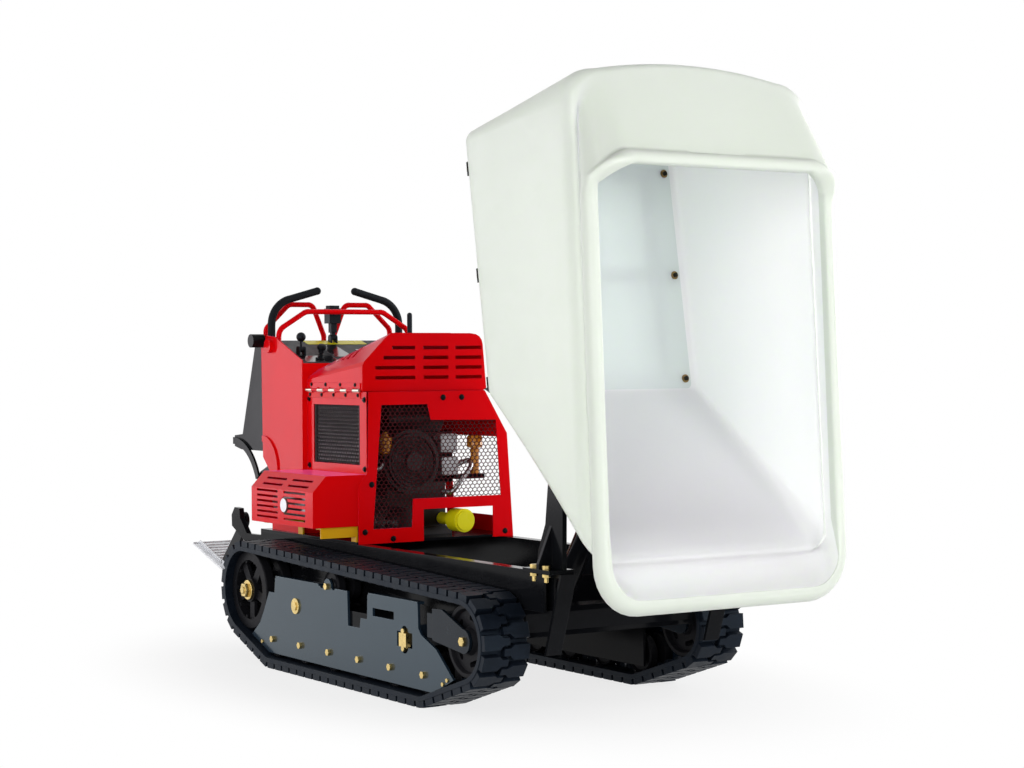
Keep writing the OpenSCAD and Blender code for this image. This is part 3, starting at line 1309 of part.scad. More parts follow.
module tub_bolts() {
    color(zinc) place() in_tub() for (u = cross_u, s = [-1, 1]) {
        translate([u, s * tub_bolt_y, tub_wall]) cylinder(r = 12, h = 3);
        translate([u, s * tub_bolt_y, tub_wall + 2.5]) cylinder(r = 7, h = 6);
        translate([u, s * tub_bolt_y, -frame_depth - 9]) cylinder(r = 10, h = 9, $fn = 6);
    }
}

// Lift cylinder: barrel on the chassis, rod with its wide eye round the tub's lift pin
barrel_r = lift_bore_r + 7;
barrel_foot_r = 27;
gland_l = 24;
rod_x0 = 250;
module cylinder_barrel() {
    color(black) place() in_lift() difference() {
        union() {
            across(0, 0, barrel_foot_r, -ear_in + turn_gap, ear_in - turn_gap);
            along(0, 0, barrel_r, 30, barrel_l);
            along(0, 0, 20, 10, 36);
            along(0, 0, barrel_r + 4, barrel_l - gland_l, barrel_l);
        }
        across(0, 0, lift_pin_r + 3 + run_fit, -ear_in - 1, ear_in + 1);
        along(0, 0, lift_bore_r, 46, barrel_l - gland_l);
        along(0, 0, lift_rod_r + run_fit, barrel_l - gland_l - bond, barrel_l + 1);
    }
}
module cylinder_rod() {
    color(steel) place() in_lift() difference() {
        union() {
            along(0, 0, lift_bore_r - run_fit, rod_x0 - 40, rod_x0);
            along(0, 0, lift_rod_r, rod_x0 - bond, lift_len - eye_hole_r - 4);
            across(lift_len, 0, eye_r, -ear_in + 3, ear_in - 3);
        }
        across(lift_len, 0, eye_hole_r, -ear_in, ear_in);
    }
}

main_frame();
front_beam();
pivot_stands();
frame_bolts();
track_frames();
side_plates();
plate_bolts();
tension_arms();
drive_motors();
track_right();
track_left();
drive_wheel(-1);  // drive_wheel_right
drive_wheel(1);  // drive_wheel_left
idler(-1);  // idler_right
idler(1);  // idler_left
for (i = [1:6]) {
    road_wheel(-1, i);
    road_wheel(1, i);
}
top_roller(-1);  // top_roller_right
top_roller(1);  // top_roller_left
engine_deck();
front_panel();
front_screen();
left_panel();
cooler_panel();
oil_cooler();
muffler();
muffler_guard();
guard_bracket();
hood_hinge();
hood();
engine();
oil_filter();
console();
control_panel();
reference_bars();
traction_lever(-1);  // traction_lever_right
traction_lever(1);  // traction_lever_left
dump_lever();
throttle_lever();
choke_knob();
brake_lever();
pad_bracket();
thigh_pad();
platform_bracket();
platform();
tub();
tub_frame();
tub_bolts();
cylinder_barrel();
cylinder_rod();
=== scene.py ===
import math

import bmesh
import bpy
from mathutils import Matrix, Vector


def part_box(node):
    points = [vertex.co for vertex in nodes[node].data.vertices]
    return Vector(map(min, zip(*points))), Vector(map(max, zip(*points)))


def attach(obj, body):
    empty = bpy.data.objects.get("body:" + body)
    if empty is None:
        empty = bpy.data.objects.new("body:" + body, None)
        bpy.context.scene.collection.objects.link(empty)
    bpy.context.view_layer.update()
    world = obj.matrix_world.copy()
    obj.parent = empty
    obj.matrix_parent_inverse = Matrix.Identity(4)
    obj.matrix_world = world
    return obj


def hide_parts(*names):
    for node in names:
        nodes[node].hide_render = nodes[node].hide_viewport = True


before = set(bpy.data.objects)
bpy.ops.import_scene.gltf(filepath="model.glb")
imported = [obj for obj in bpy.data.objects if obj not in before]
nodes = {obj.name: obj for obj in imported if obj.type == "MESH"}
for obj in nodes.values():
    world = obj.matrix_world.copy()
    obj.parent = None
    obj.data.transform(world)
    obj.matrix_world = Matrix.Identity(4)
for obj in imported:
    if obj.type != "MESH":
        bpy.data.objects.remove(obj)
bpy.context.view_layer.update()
bpy.context.scene.view_settings.view_transform = "Standard"

# The machine's own X zero lies at the middle road wheels; the row frame is shifted along X
STEP_REAR_X = -1.42451
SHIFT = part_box("platform")[0].x - STEP_REAR_X


def at(x, y, z):
    """A machine point, in metres, in the row frame."""
    return Vector((x + SHIFT, y, z))


# Camera, solved on the photograph

IMAGE_W = 1024
SENSOR = 36.0
FOCAL_PX = 2128.86
FAR_CLIP = 100
CAM_AZ = math.radians(57.2243)
CAM_PITCH = math.radians(-0.6687)
CAM_ROLL = math.radians(-0.3601)
CAM_EYE = at(5.7338, -3.5038, 0.9939)


def make_camera():
    fwd = Vector((-math.sin(CAM_AZ) * math.cos(CAM_PITCH), math.cos(CAM_AZ) * math.cos(CAM_PITCH),
                  math.sin(CAM_PITCH)))
    right = Vector((math.cos(CAM_AZ), math.sin(CAM_AZ), 0))
    up = right.cross(fwd)
    right_r = right * math.cos(CAM_ROLL) + up * math.sin(CAM_ROLL)
    up_r = up * math.cos(CAM_ROLL) - right * math.sin(CAM_ROLL)
    data = bpy.data.cameras.new("camera")
    data.sensor_fit = "HORIZONTAL"
    data.sensor_width = SENSOR
    data.lens = FOCAL_PX * SENSOR / IMAGE_W
    data.clip_end = FAR_CLIP
    cam = bpy.data.objects.new("camera", data)
    bpy.context.scene.collection.objects.link(cam)
    turn = Matrix((right_r, up_r, -fwd)).transposed().to_4x4()
    cam.matrix_world = Matrix.Translation(CAM_EYE) @ turn
    bpy.context.scene.camera = cam


make_camera()

# Shader helpers

# The middle of a noise, over which colours and values are spread
NOISE_LOW, NOISE_HIGH = 0.3, 0.7
COAT_ROUGH, SHEEN_ROUGH = 0.12, 0.28
RUBBER_SPECULAR, RUBBER_TINT = 0.14, (0.6, 0.8, 1.0)
POLY_SCATTER, POLY_SPECULAR = (0.016, 0.017, 0.015), 0.45
VINYL_ROUGH, VINYL_SPECULAR = 0.65, 0.05
TWO_TONE_SPECULAR = 0.1


def new_material(name):
    m = bpy.data.materials.new(name)
    m.use_nodes = True
    return m, m.node_tree, m.node_tree.nodes["Principled BSDF"]


def node(nt, kind, **inputs):
    n = nt.nodes.new(kind)
    for key, value in inputs.items():
        n.inputs[key].default_value = value
    return n


def object_coords(nt):
    return nt.nodes.new("ShaderNodeTexCoord").outputs["Object"]


def noise(nt, scale, detail=4.0, roughness=0.55):
    n = node(nt, "ShaderNodeTexNoise", Scale=scale, Detail=detail, Roughness=roughness)
    nt.links.new(object_coords(nt), n.inputs["Vector"])
    return n.outputs["Fac"]


def ramp(nt, fac, stops):
    n = nt.nodes.new("ShaderNodeValToRGB")
    els = n.color_ramp.elements
    while len(els) < len(stops):
        els.new(0.5)
    for el, (pos, col) in zip(els, stops):
        el.position = pos
        el.color = (*col, 1)
    nt.links.new(fac, n.inputs["Fac"])
    return n.outputs["Color"]


def shade(c, f):
    return tuple(min(1.0, v * f) for v in c)


def drift(nt, fac, color, low, high):
    """A colour that drifts between two shades of itself over a noise."""
    return ramp(nt, fac, [(NOISE_LOW, shade(color, low)), (NOISE_HIGH, shade(color, high))])


def map_range(nt, value, low, high, start=0.0, end=1.0):
    n = nt.nodes.new("ShaderNodeMapRange")
    for key, number in (("From Min", start), ("From Max", end), ("To Min", low), ("To Max", high)):
        n.inputs[key].default_value = number
    nt.links.new(value, n.inputs["Value"])
    return n


def spread(nt, fac, low, high):
    """A number that runs from low to high over the middle of a noise."""
    return map_range(nt, fac, low, high, NOISE_LOW, NOISE_HIGH).outputs["Result"]


def math_node(nt, operation, a, b):
    n = nt.nodes.new("ShaderNodeMath")
    n.operation = operation
    nt.links.new(a, n.inputs[0])
    nt.links.new(b, n.inputs[1])
    return n.outputs[0]


def bump(nt, height, strength, distance, normal=None):
    n = node(nt, "ShaderNodeBump", Strength=strength, Distance=distance)
    nt.links.new(height, n.inputs["Height"])
    if normal is not None:
        nt.links.new(normal, n.inputs["Normal"])
    return n.outputs["Normal"]


def soft_edge(nt, radius):
    n = node(nt, "ShaderNodeBevel", Radius=radius)
    n.samples = 4
    return n.outputs["Normal"]


# Materials


def paint(name, color, rough=0.3, coat=0.4, edge=0.002, peel=0.12, specular=0.5, tint=(1, 1, 1),
          sheen=0.0):
    """Sprayed paint: slight colour drift, orange peel, rounded edges, a clear coat."""
    m, nt, b = new_material(name)
    col = drift(nt, noise(nt, scale=3.0, detail=3.0), color, 0.93, 1.05)
    nt.links.new(col, b.inputs["Base Color"])
    gloss = spread(nt, noise(nt, scale=14.0, detail=5.0), rough * 0.85, rough * 1.2)
    nt.links.new(gloss, b.inputs["Roughness"])
    b.inputs["Coat Weight"].default_value = coat
    b.inputs["Coat Roughness"].default_value = COAT_ROUGH
    b.inputs["Specular IOR Level"].default_value = specular
    b.inputs["Specular Tint"].default_value = (*tint, 1)
    b.inputs["Sheen Weight"].default_value = sheen
    b.inputs["Sheen Roughness"].default_value = SHEEN_ROUGH
    b.inputs["Sheen Tint"].default_value = (*tint, 1)
    skin_noise = noise(nt, scale=420.0, detail=2.0)
    normal = bump(nt, skin_noise, strength=peel, distance=0.0004, normal=soft_edge(nt, edge))
    nt.links.new(normal, b.inputs["Normal"])
    return m


def powder_coat(name, color, rough=0.45, specular=0.06, grain=0.2):
    """Powder-coated steel with a fine grain and dusty patches."""
    m, nt, b = new_material(name)
    dust = noise(nt, scale=9.0, detail=6.0, roughness=0.65)
    col = ramp(nt, dust, [(0.35, shade(color, 0.8)), (0.62, color), (0.8, shade(color, 1.5))])
    nt.links.new(col, b.inputs["Base Color"])
    nt.links.new(spread(nt, dust, rough * 0.8, rough * 1.3), b.inputs["Roughness"])
    b.inputs["Specular IOR Level"].default_value = specular
    fine = noise(nt, scale=700.0, detail=2.0)
    normal = bump(nt, fine, strength=grain, distance=0.0004, normal=soft_edge(nt, 0.002))
    nt.links.new(normal, b.inputs["Normal"])
    return m


def rubber(name, color, rough=0.7, scuff=2.4):
    """Moulded rubber: dull, with scuffed patches and a fine pitted skin."""
    m, nt, b = new_material(name)
    wear = noise(nt, scale=26.0, detail=8.0, roughness=0.7)
    col = ramp(nt, wear, [(0.35, shade(color, 0.7)), (0.6, color), (0.85, shade(color, scuff))])
    nt.links.new(col, b.inputs["Base Color"])
    nt.links.new(spread(nt, wear, rough * 0.8, min(1.0, rough * 1.2)), b.inputs["Roughness"])
    b.inputs["Specular IOR Level"].default_value = RUBBER_SPECULAR
    b.inputs["Specular Tint"].default_value = (*RUBBER_TINT, 1)
    fine = noise(nt, scale=500.0, detail=3.0)
    normal = bump(nt, fine, strength=0.3, distance=0.0006, normal=soft_edge(nt, 0.0025))
    nt.links.new(normal, b.inputs["Normal"])
    return m


def metal(name, color, rough=0.3, grain=160.0, edge=0.0012):
    """Bare or plated metal with uneven lustre."""
    m, nt, b = new_material(name)
    b.inputs["Metallic"].default_value = 1.0
    col = drift(nt, noise(nt, scale=30.0, detail=6.0, roughness=0.6), color, 0.75, 1.0)
    nt.links.new(col, b.inputs["Base Color"])
    gloss = spread(nt, noise(nt, scale=grain, detail=4.0), rough * 0.7, rough * 1.4)
    nt.links.new(gloss, b.inputs["Roughness"])
    nt.links.new(soft_edge(nt, edge), b.inputs["Normal"])
    return m


def poly(name, color):
    """Rotomoulded polyethylene: milky, slightly translucent, with a soft waxy skin."""
    m, nt, b = new_material(name)
    col = drift(nt, noise(nt, scale=1.6, detail=3.0), color, 0.975, 1.02)
    nt.links.new(col, b.inputs["Base Color"])
    nt.links.new(spread(nt, noise(nt, scale=18.0, detail=5.0), 0.3, 0.42), b.inputs["Roughness"])
    b.inputs["Subsurface Weight"].default_value = 1.0
    b.inputs["Subsurface Radius"].default_value = POLY_SCATTER
    b.inputs["Subsurface Scale"].default_value = 1.0
    b.inputs["Specular IOR Level"].default_value = POLY_SPECULAR
    wave = bump(nt, noise(nt, scale=7.0, detail=2.0), strength=0.06, distance=0.01)
    fine = noise(nt, scale=600.0, detail=2.0)
    normal = bump(nt, fine, strength=0.05, distance=0.0004, normal=wave)
    nt.links.new(normal, b.inputs["Normal"])
    return m


def grained_vinyl(name, color):
    """Grained vinyl of the thigh pad."""
    m, nt, b = new_material(name)
    cells = node(nt, "ShaderNodeTexVoronoi", Scale=420.0)
    nt.links.new(object_coords(nt), cells.inputs["Vector"])
    col = drift(nt, noise(nt, scale=12.0, detail=5.0), color, 0.8, 1.3)
    nt.links.new(col, b.inputs["Base Color"])
    b.inputs["Roughness"].default_value = VINYL_ROUGH
    b.inputs["Specular IOR Level"].default_value = VINYL_SPECULAR
    normal = bump(nt, cells.outputs["Distance"], strength=0.4, distance=0.0008)
    nt.links.new(normal, b.inputs["Normal"])
    return m


def color_socket(sockets, name):
    return next(s for s in sockets if s.name == name and s.type == "RGBA")


def two_tone(name, axis, level, low, high):
    """One node in two finishes, parted by a plane: each is (colour, roughness, metallic)."""
    m, nt, b = new_material(name)
    along = nt.nodes.new("ShaderNodeVectorMath")
    along.operation = "DOT_PRODUCT"
    along.inputs[1].default_value = axis
    nt.links.new(object_coords(nt), along.inputs[0])
    above = nt.nodes.new("ShaderNodeMath")
    above.operation = "GREATER_THAN"
    above.inputs[1].default_value = level
    nt.links.new(along.outputs["Value"], above.inputs[0])
    tone = noise(nt, scale=24.0, detail=6.0, roughness=0.6)
    mixer = nt.nodes.new("ShaderNodeMix")
    mixer.data_type = "RGBA"
    nt.links.new(above.outputs[0], mixer.inputs["Factor"])
    for socket, finish in (("A", low), ("B", high)):
        nt.links.new(drift(nt, tone, finish[0], 0.8, 1.1), color_socket(mixer.inputs, socket))
    nt.links.new(color_socket(mixer.outputs, "Result"), b.inputs["Base Color"])
    for socket, k in (("Roughness", 1), ("Metallic", 2)):
        pick = map_range(nt, above.outputs[0], low[k], high[k])
        nt.links.new(pick.outputs["Result"], b.inputs[socket])
    b.inputs["Specular IOR Level"].default_value = TWO_TONE_SPECULAR
    nt.links.new(soft_edge(nt, 0.0015), b.inputs["Normal"])
    return m


RED = (0.78, 0.002, 0.003)
BLACK = (0.006, 0.0065, 0.008)
PINK_SHEEN = (1.0, 0.13, 0.42)
SLATE_TINT = (0.55, 0.85, 1.0)
DULL_BLACK = (0.010, 0.010, 0.011)
WHEEL_BLACK = (0.010, 0.010, 0.012)

red_paint = paint("red_paint", RED, rough=0.14, coat=0.0, specular=0.1, tint=PINK_SHEEN, sheen=0.6)
# Glossy black paint of the side plates; the blue-slate cast of its colour is painted reflection
plates_black_and_painted_reflection = paint("black_plates_blue_painted_reflection", (0.013, 0.024, 0.039), rough=0.2, coat=0.12, peel=0.08,
                    tint=SLATE_TINT)
arm_paint = paint("arm_paint", (0.008, 0.013, 0.020), rough=0.24, coat=0.0, specular=0.15)
black_steel = powder_coat("black_steel", BLACK, rough=0.13, grain=0.03)
wheel_paint = powder_coat("wheel_paint", WHEEL_BLACK, rough=0.42)
screen_paint = powder_coat("screen_paint", (0.085, 0.008, 0.012), rough=0.4)
cooler_paint = powder_coat("cooler_paint", (0.020, 0.012, 0.012), rough=0.4)
fin_metal = metal("fin_metal", (0.52, 0.44, 0.47), rough=0.35)
track_rubber = rubber("track_rubber", (0.0055, 0.008, 0.0135), rough=0.5, scuff=2.2)
grip_rubber = rubber("grip_rubber", DULL_BLACK, rough=0.7, scuff=1.6)
black_plastic = rubber("black_plastic", DULL_BLACK, rough=0.42, scuff=1.5)
zinc = metal("yellow_zinc", (0.74, 0.56, 0.22), rough=0.32)
bare_steel = metal("bare_steel", (0.60, 0.61, 0.63), rough=0.35)
chrome = metal("chrome_rod", (0.85, 0.86, 0.88), rough=0.08)
engine_paint = paint("engine_black", (0.016, 0.012, 0.014), rough=0.36, coat=0.0, specular=0.35)
alloy = metal("cast_alloy", (0.55, 0.55, 0.57), rough=0.45, grain=60.0)
yellow_paint = paint("filter_yellow", (0.88, 0.80, 0.006), rough=0.3, coat=0.0, specular=0.2)
bracket_yellow = paint("bracket_yellow", (0.78, 0.40, 0.006), rough=0.35, coat=0.0, specular=0.2)
amber = paint("amber_plastic", (0.80, 0.30, 0.02), rough=0.25, coat=0.5)
gloss_plate = paint("gloss_plate", WHEEL_BLACK, rough=0.12, coat=0.6, peel=0.03)
poly_white = poly("poly_tub", (0.69, 0.73, 0.665))
# The tub's cavity walls: the same poly, paler than the outside as painted light
poly_inner_painted_light = poly("poly_tub_inner_painted_light", (0.91, 0.935, 0.93))
# The cavity's floor: the same poly, darker than the cavity's walls and bluer, as painted shade
poly_floor_painted_shade = poly("poly_tub_floor_painted_shade", (0.73, 0.80, 0.78))
vinyl = grained_vinyl("pad_vinyl", (0.007, 0.007, 0.008))

# The hinge's leaf is red and its knuckles plated
HINGE_SPLIT_Z = 0.8915
HINGE_LEAF_FINISH = (RED, 0.3, 0.0)
KNUCKLE_FINISH = ((0.62, 0.58, 0.5), 0.35, 1.0)
hinge_finish = two_tone("hinge_finish", (0, 0, 1), HINGE_SPLIT_Z, HINGE_LEAF_FINISH, KNUCKLE_FINISH)

# The platform's plate is bare and its arms are black, parted by a plane just above the sloped plate
STEP_SLOPE = math.tan(math.radians(17))
STEP_FRONT = at(-1.195, 0, 0.256)
STEP_CLEAR = 0.02
STEP_LEVEL = STEP_FRONT.z + STEP_SLOPE * STEP_FRONT.x + STEP_CLEAR
STEP_PLATE_FINISH = ((0.72, 0.73, 0.75), 0.32, 0.6)
STEP_ARM_FINISH = (BLACK, 0.35, 0.0)
step_finish = two_tone("step_finish", (STEP_SLOPE, 0, 1), STEP_LEVEL, STEP_PLATE_FINISH,
                       STEP_ARM_FINISH)

NODE_LOOKS = {
    red_paint: ["front_panel", "left_panel", "cooler_panel", "muffler_guard", "hood", "console",
                "reference_bars"],
    plates_black_and_painted_reflection: ["side_plates"],
    arm_paint: ["tension_arms"],
    black_steel: ["main_frame", "front_beam", "pivot_stands", "track_frames", "drive_motors",
                  "engine_deck", "pad_bracket", "platform_bracket", "tub_frame", "cylinder_barrel"],
    screen_paint: ["front_screen"],
    cooler_paint: ["oil_cooler"],
    hinge_finish: ["hood_hinge"],
    step_finish: ["platform"],
    track_rubber: ["track_right", "track_left"],
    grip_rubber: ["traction_lever_right", "traction_lever_left"],
    black_plastic: ["dump_lever", "throttle_lever", "choke_knob", "brake_lever", "control_panel"],
    zinc: ["frame_bolts", "plate_bolts"],
    bracket_yellow: ["guard_bracket"],
    bare_steel: ["muffler"],
    chrome: ["cylinder_rod"],
    engine_paint: ["engine"],
    yellow_paint: ["oil_filter"],
    poly_white: ["tub"],
    vinyl: ["thigh_pad"],
    wheel_paint: [n for n in nodes if "wheel" in n or "idler" in n or "roller" in n],
}


def dress(obj, mat):
    obj.data.materials.clear()
    obj.data.materials.append(mat)


for mat, names in NODE_LOOKS.items():
    for name in names:
        dress(nodes[name], mat)

# Mesh helpers


def piece(name, bm, body, mat, sharp=None):
    """A new mesh piece in the row frame that rides on a body."""
    me = bpy.data.meshes.new(name)
    bmesh.ops.recalc_face_normals(bm, faces=bm.faces)
    bm.to_mesh(me)
    bm.free()
    obj = bpy.data.objects.new(name, me)
    bpy.context.scene.collection.objects.link(obj)
    me.materials.append(mat)
    if sharp is not None:
        for p in me.polygons:
            p.use_smooth = True
        me.set_sharp_from_angle(angle=math.radians(sharp))
    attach(obj, body)
    return obj


def basis(axis):
    """A unit axis and two unit vectors across it."""
    a = Vector(axis).normalized()
    side = a.cross(Vector((0, 0, 1)))
    if side.length < 1e-4:
        side = Vector((1, 0, 0))
    side.normalize()
    return a, side, a.cross(side)


def circle(steps):
    return [2 * math.pi * i / steps for i in range(steps)]


def skin(bm, rings):
    """Faces between rings of points, with a cap at each end."""
    n = len(rings[0])
    for lo, hi in zip(rings, rings[1:]):
        for i in range(n):
            j = (i + 1) % n
            bm.faces.new((lo[i], lo[j], hi[j], hi[i]))
    bm.faces.new(rings[0][::-1])
    bm.faces.new(rings[-1])


def lathe(bm, base, axis, profile, steps=24):
    """A turned form: profile is (radius, height along the axis) from the base."""
    a, s, t = basis(axis)
    rings = []
    for r, h in profile:
        mid = Vector(base) + a * h
        rings.append([bm.verts.new(mid + (s * math.cos(ang) + t * math.sin(ang)) * r)
                      for ang in circle(steps)])
    skin(bm, rings)


def soft_cube(bm, place, edge):
    """A unit cube set by a matrix, with softened edges."""
    made = bmesh.ops.create_cube(bm, size=1.0, matrix=place)
    if edge:
        edges = list(dict.fromkeys(e for v in made["verts"] for e in v.link_edges))
        bmesh.ops.bevel(bm, geom=edges, offset=edge, segments=2, affect="EDGES", profile=0.6)


def box(bm, lo, hi, edge=0.0):
    """A box between two corners."""
    lo, hi = Vector(lo), Vector(hi)
    soft_cube(bm, Matrix.Translation((lo + hi) / 2) @ Matrix.Diagonal((*(hi - lo), 1.0)), edge)


def tube(bm, pts, r, steps=12):
    """A round tube through points."""
    pts = [Vector(p) for p in pts]
    rings = []
    side = None
    for i, p in enumerate(pts):
        d = (pts[min(i + 1, len(pts) - 1)] - pts[max(i - 1, 0)]).normalized()
        if side is None:
            side = basis(d)[1]
        side = (side - d * side.dot(d)).normalized()
        other = d.cross(side)
        rings.append([bm.verts.new(p + (side * math.cos(ang) + other * math.sin(ang)) * r)
                      for ang in circle(steps)])
    skin(bm, rings)


def curve_points(pts, per=8):
    """Points of a smooth curve through given points."""
    pts = [Vector(p) for p in pts]
    ext = [pts[0] * 2 - pts[1]] + pts + [pts[-1] * 2 - pts[-2]]
    out = []
    for i in range(1, len(ext) - 2):
        a, b, c, d = ext[i - 1:i + 3]
        for k in range(per):
            t = k / per
            out.append(0.5 * ((2 * b) + (c - a) * t + (2 * a - 5 * b + 4 * c - d) * t * t
                              + (3 * b - a - 3 * c + d) * t ** 3))
    out.append(pts[-1])
    return out


HEX = 6
# A screw's washer: radius as a share of the head's, and height
WASHER = ((1.45, -0.0005), (1.5, 0.0008), (1.4, 0.0014))
WASHER_TOP = 0.001


def screw(bm, p, normal, r=0.0065, h=0.005):
    """A small hex screw on a washer."""
    lathe(bm, p, normal, [(r * k, z) for k, z in WASHER], steps=20)
    head = [(r, 0), (r, h * 0.75), (r * 0.82, h)]
    lathe(bm, Vector(p) + Vector(normal) * WASHER_TOP, normal, head, steps=HEX)


# Tub shell, with the same outline functions as the solid, drawn finer

TIP = math.radians(80.7)
PIVOT = (0.94766, 0.65272)
FLOOR_L, FLOOR_HALF, TOP_HALF = 0.735, 0.368, 0.412
PIVOT_U, PIVOT_W = FLOOR_L + 0.273, 0.170
TUB_AT = (PIVOT[0] - PIVOT_U * math.cos(TIP) - PIVOT_W * math.sin(TIP),
          PIVOT[1] + PIVOT_U * math.sin(TIP) - PIVOT_W * math.cos(TIP))
RAMP = math.radians(41)
CREST_H, RIM_REAR_H, RIM_SIDE_H, RIM_FRONT_H = 0.594, 0.700, 0.637, 0.515
LIP_U, DECK_U, MOUTH_HALF = FLOOR_L + 0.650, 0.241, 0.379
WALL, REAR_BOW, SHOULDER = 0.008, 0.053, 0.060
RIM_W, FRONT_BLEND, FLOOR_FILLET = 0.038, 0.110, 0.020
MOUTH_CUT_U, MOUTH_CUT_Y, MOUTH_TURN, MOUTH_ROUND = 0.046, 0.084, 0.095, 0.3
REAR_SET, REAR_DRAFT, REAR_TURN_LOW, REAR_TURN_HIGH = 0.012, 0.012, 0.035, 0.105
FRONT_TURN_LOW, FRONT_TURN_HIGH = 0.024, 0.070
CREST_R, CREST_INSET = 0.060, 0.030
# Shares of an inset that the ramp takes, and of the rim's growth that the mouth's cut corners take
RAMP_INSET, CUT_GROW_U, CUT_GROW_Y = 0.3, 0.6, 0.4
FILLET_STEPS, CREST_STEPS, TUB_SHARP = 4, 8, 75
# Levels of the plain wall, the cavity's levels and insets under the rim, and loops across the deck
WALL_LEVELS = (0.08, 0.2, 0.35, 0.5, 0.65, 0.8)
UNDER_RIM = ((1, 0.016), (0.975, 0.004), (0.94, 0.001))
DECK_LOOPS = (0.1, 0.35, 0.65, 0.95)
# Section of the rolled rim: how far out from the mouth, how far up, and the lift at the front lip
RIM_BEAD = ((0.0380, -0.030, 0), (0.0383, -0.022, 0), (0.0362, -0.013, 0), (0.0310, -0.004, 0),
            (0.0240, 0.0025, 0), (0.0160, 0.0048, 0.001), (0.0085, 0.0036, 0.002),
            (0.0032, 0.0008, 0.005), (0.0004, -0.0030, 0.008), (0, -0.010, 0.013),
            (0, -0.018, 0.019), (0, -0.027, 0.027))


def mix(a, b, t):
    return a + (b - a) * t


def clamp01(t):
    return min(1.0, max(0.0, t))


def arc_steps(n):
    return [math.pi / 2 * i / n for i in range(n + 1)]


def rim_h(u):
    side_u = DECK_U + MOUTH_CUT_U
    if u < side_u:
        return mix(RIM_REAR_H, RIM_SIDE_H, clamp01((u - DECK_U) / MOUTH_CUT_U))
    return mix(RIM_SIDE_H, RIM_FRONT_H, clamp01((u - side_u) / (LIP_U - side_u)))


def wall_h(u):
    return mix(CREST_H, RIM_FRONT_H - SHOULDER, clamp01(u / LIP_U))


def front_share(u):
    return clamp01((u - LIP_U + 2 * FRONT_BLEND) / FRONT_BLEND)


def slice_ring(u0, bow, half, uf, turn_u, turn_y, roundness, nose, rear=12, turn=8, side=22, front=6):
    """A closed outline round the tub: bowed rear, turned corners, straight sides and front."""
    corner_y = half - turn_y
    corner_u = u0 - bow * (1 - (corner_y / half) ** 2)
    pts = []
    for i in range(rear):
        y = corner_y * i / rear
        pts.append((u0 - bow * (1 - (y / half) ** 2), y))
    for i, a in enumerate(arc_steps(turn)):
        t = i / turn
        pts.append((mix(corner_u + turn_u * t, corner_u + turn_u * (1 - math.cos(a)), roundness),
                    mix(corner_y + turn_y * t, corner_y + turn_y * math.sin(a), roundness)))
    for i in range(1, side):
        pts.append((mix(corner_u + turn_u, uf - nose, i / side), half))
    for a in arc_steps(turn):
        pts.append((uf - nose + nose * math.sin(a), half - nose + nose * math.cos(a)))
    for i in range(1, front + 1):
        pts.append((uf, (half - nose) * (1 - i / front)))
    return pts + [(u, -y) for u, y in pts[-2:0:-1]]


def front_turn(s):
    return mix(FRONT_TURN_LOW, FRONT_TURN_HIGH, s)


def rear_turn(s):
    return mix(REAR_TURN_LOW, REAR_TURN_HIGH, s)


def rear_bow(s):
    return REAR_BOW * (0.5 + 0.5 * s)


def wall_ring(s, inset):
    front_w = wall_h(LIP_U) * s
    half = mix(FLOOR_HALF, TOP_HALF, s) - inset
    uf = FLOOR_L + front_w / math.tan(RAMP) - inset * RAMP_INSET
    ring = slice_ring(inset - REAR_SET - REAR_DRAFT * s, rear_bow(s), half, uf,
                      rear_turn(s), rear_turn(s), 1, front_turn(s))
    return [(u, y, wall_h(u) * s) for u, y in ring]


def cavity_ring(s, inset):
    front_w = WALL + (wall_h(LIP_U) - WALL) * s - WALL / math.cos(RAMP)
    half = mix(FLOOR_HALF, TOP_HALF, s) - WALL - inset
    uf = FLOOR_L + front_w / math.tan(RAMP) - inset * RAMP_INSET
    turn = rear_turn(s) - WALL
    ring = slice_ring(WALL + inset - REAR_SET - REAR_DRAFT * s, rear_bow(s), half, uf,
                      turn, turn, 1, front_turn(s) - WALL)
    return [(u, y, WALL + (wall_h(u) - 2 * WALL + WALL * front_share(u)) * s) for u, y in ring]


def mouth_ring(grow, rise, front_rise):
    ring = slice_ring(DECK_U - grow, 0, MOUTH_HALF + grow, LIP_U - RIM_W + grow,
                      MOUTH_CUT_U + grow * CUT_GROW_U, MOUTH_CUT_Y + grow * CUT_GROW_Y, MOUTH_ROUND,
                      MOUTH_TURN + grow)
    return [(u, y, rim_h(u) + rise + front_rise * front_share(u)) for u, y in ring]


def floor_fillet(a):
    """Level and inset of a ring in the fillet round the floor."""
    return FLOOR_FILLET * (1 - math.cos(a)) / CREST_H, FLOOR_FILLET * (1 - math.sin(a))


def outer_rings():
    rings = [wall_ring(*floor_fillet(a)) for a in arc_steps(FILLET_STEPS)]
    rings += [wall_ring(s, 0) for s in WALL_LEVELS]
    for a in arc_steps(CREST_STEPS):
        level = 1 - CREST_R * (1 - math.sin(a)) / CREST_H
        rings.append(wall_ring(level, CREST_INSET * (1 - math.cos(a))))
    crest, foot = rings[-1], mouth_ring(*RIM_BEAD[0])
    for t in DECK_LOOPS:
        rings.append([tuple(mix(a, b, t) for a, b in zip(p, q)) for p, q in zip(crest, foot)])
    return rings + [mouth_ring(*bead) for bead in RIM_BEAD]


def inner_rings():
    rings = [cavity_ring(s, inset) for s, inset in UNDER_RIM]
    rings += [cavity_ring(s, 0) for s in reversed(WALL_LEVELS)]
    return rings + [cavity_ring(*floor_fillet(a)) for a in reversed(arc_steps(FILLET_STEPS))]


def tub_point(p):
    u, y, w = p
    return at(TUB_AT[0] + u * math.cos(TIP) + w * math.sin(TIP), y,
              TUB_AT[1] - u * math.sin(TIP) + w * math.cos(TIP))


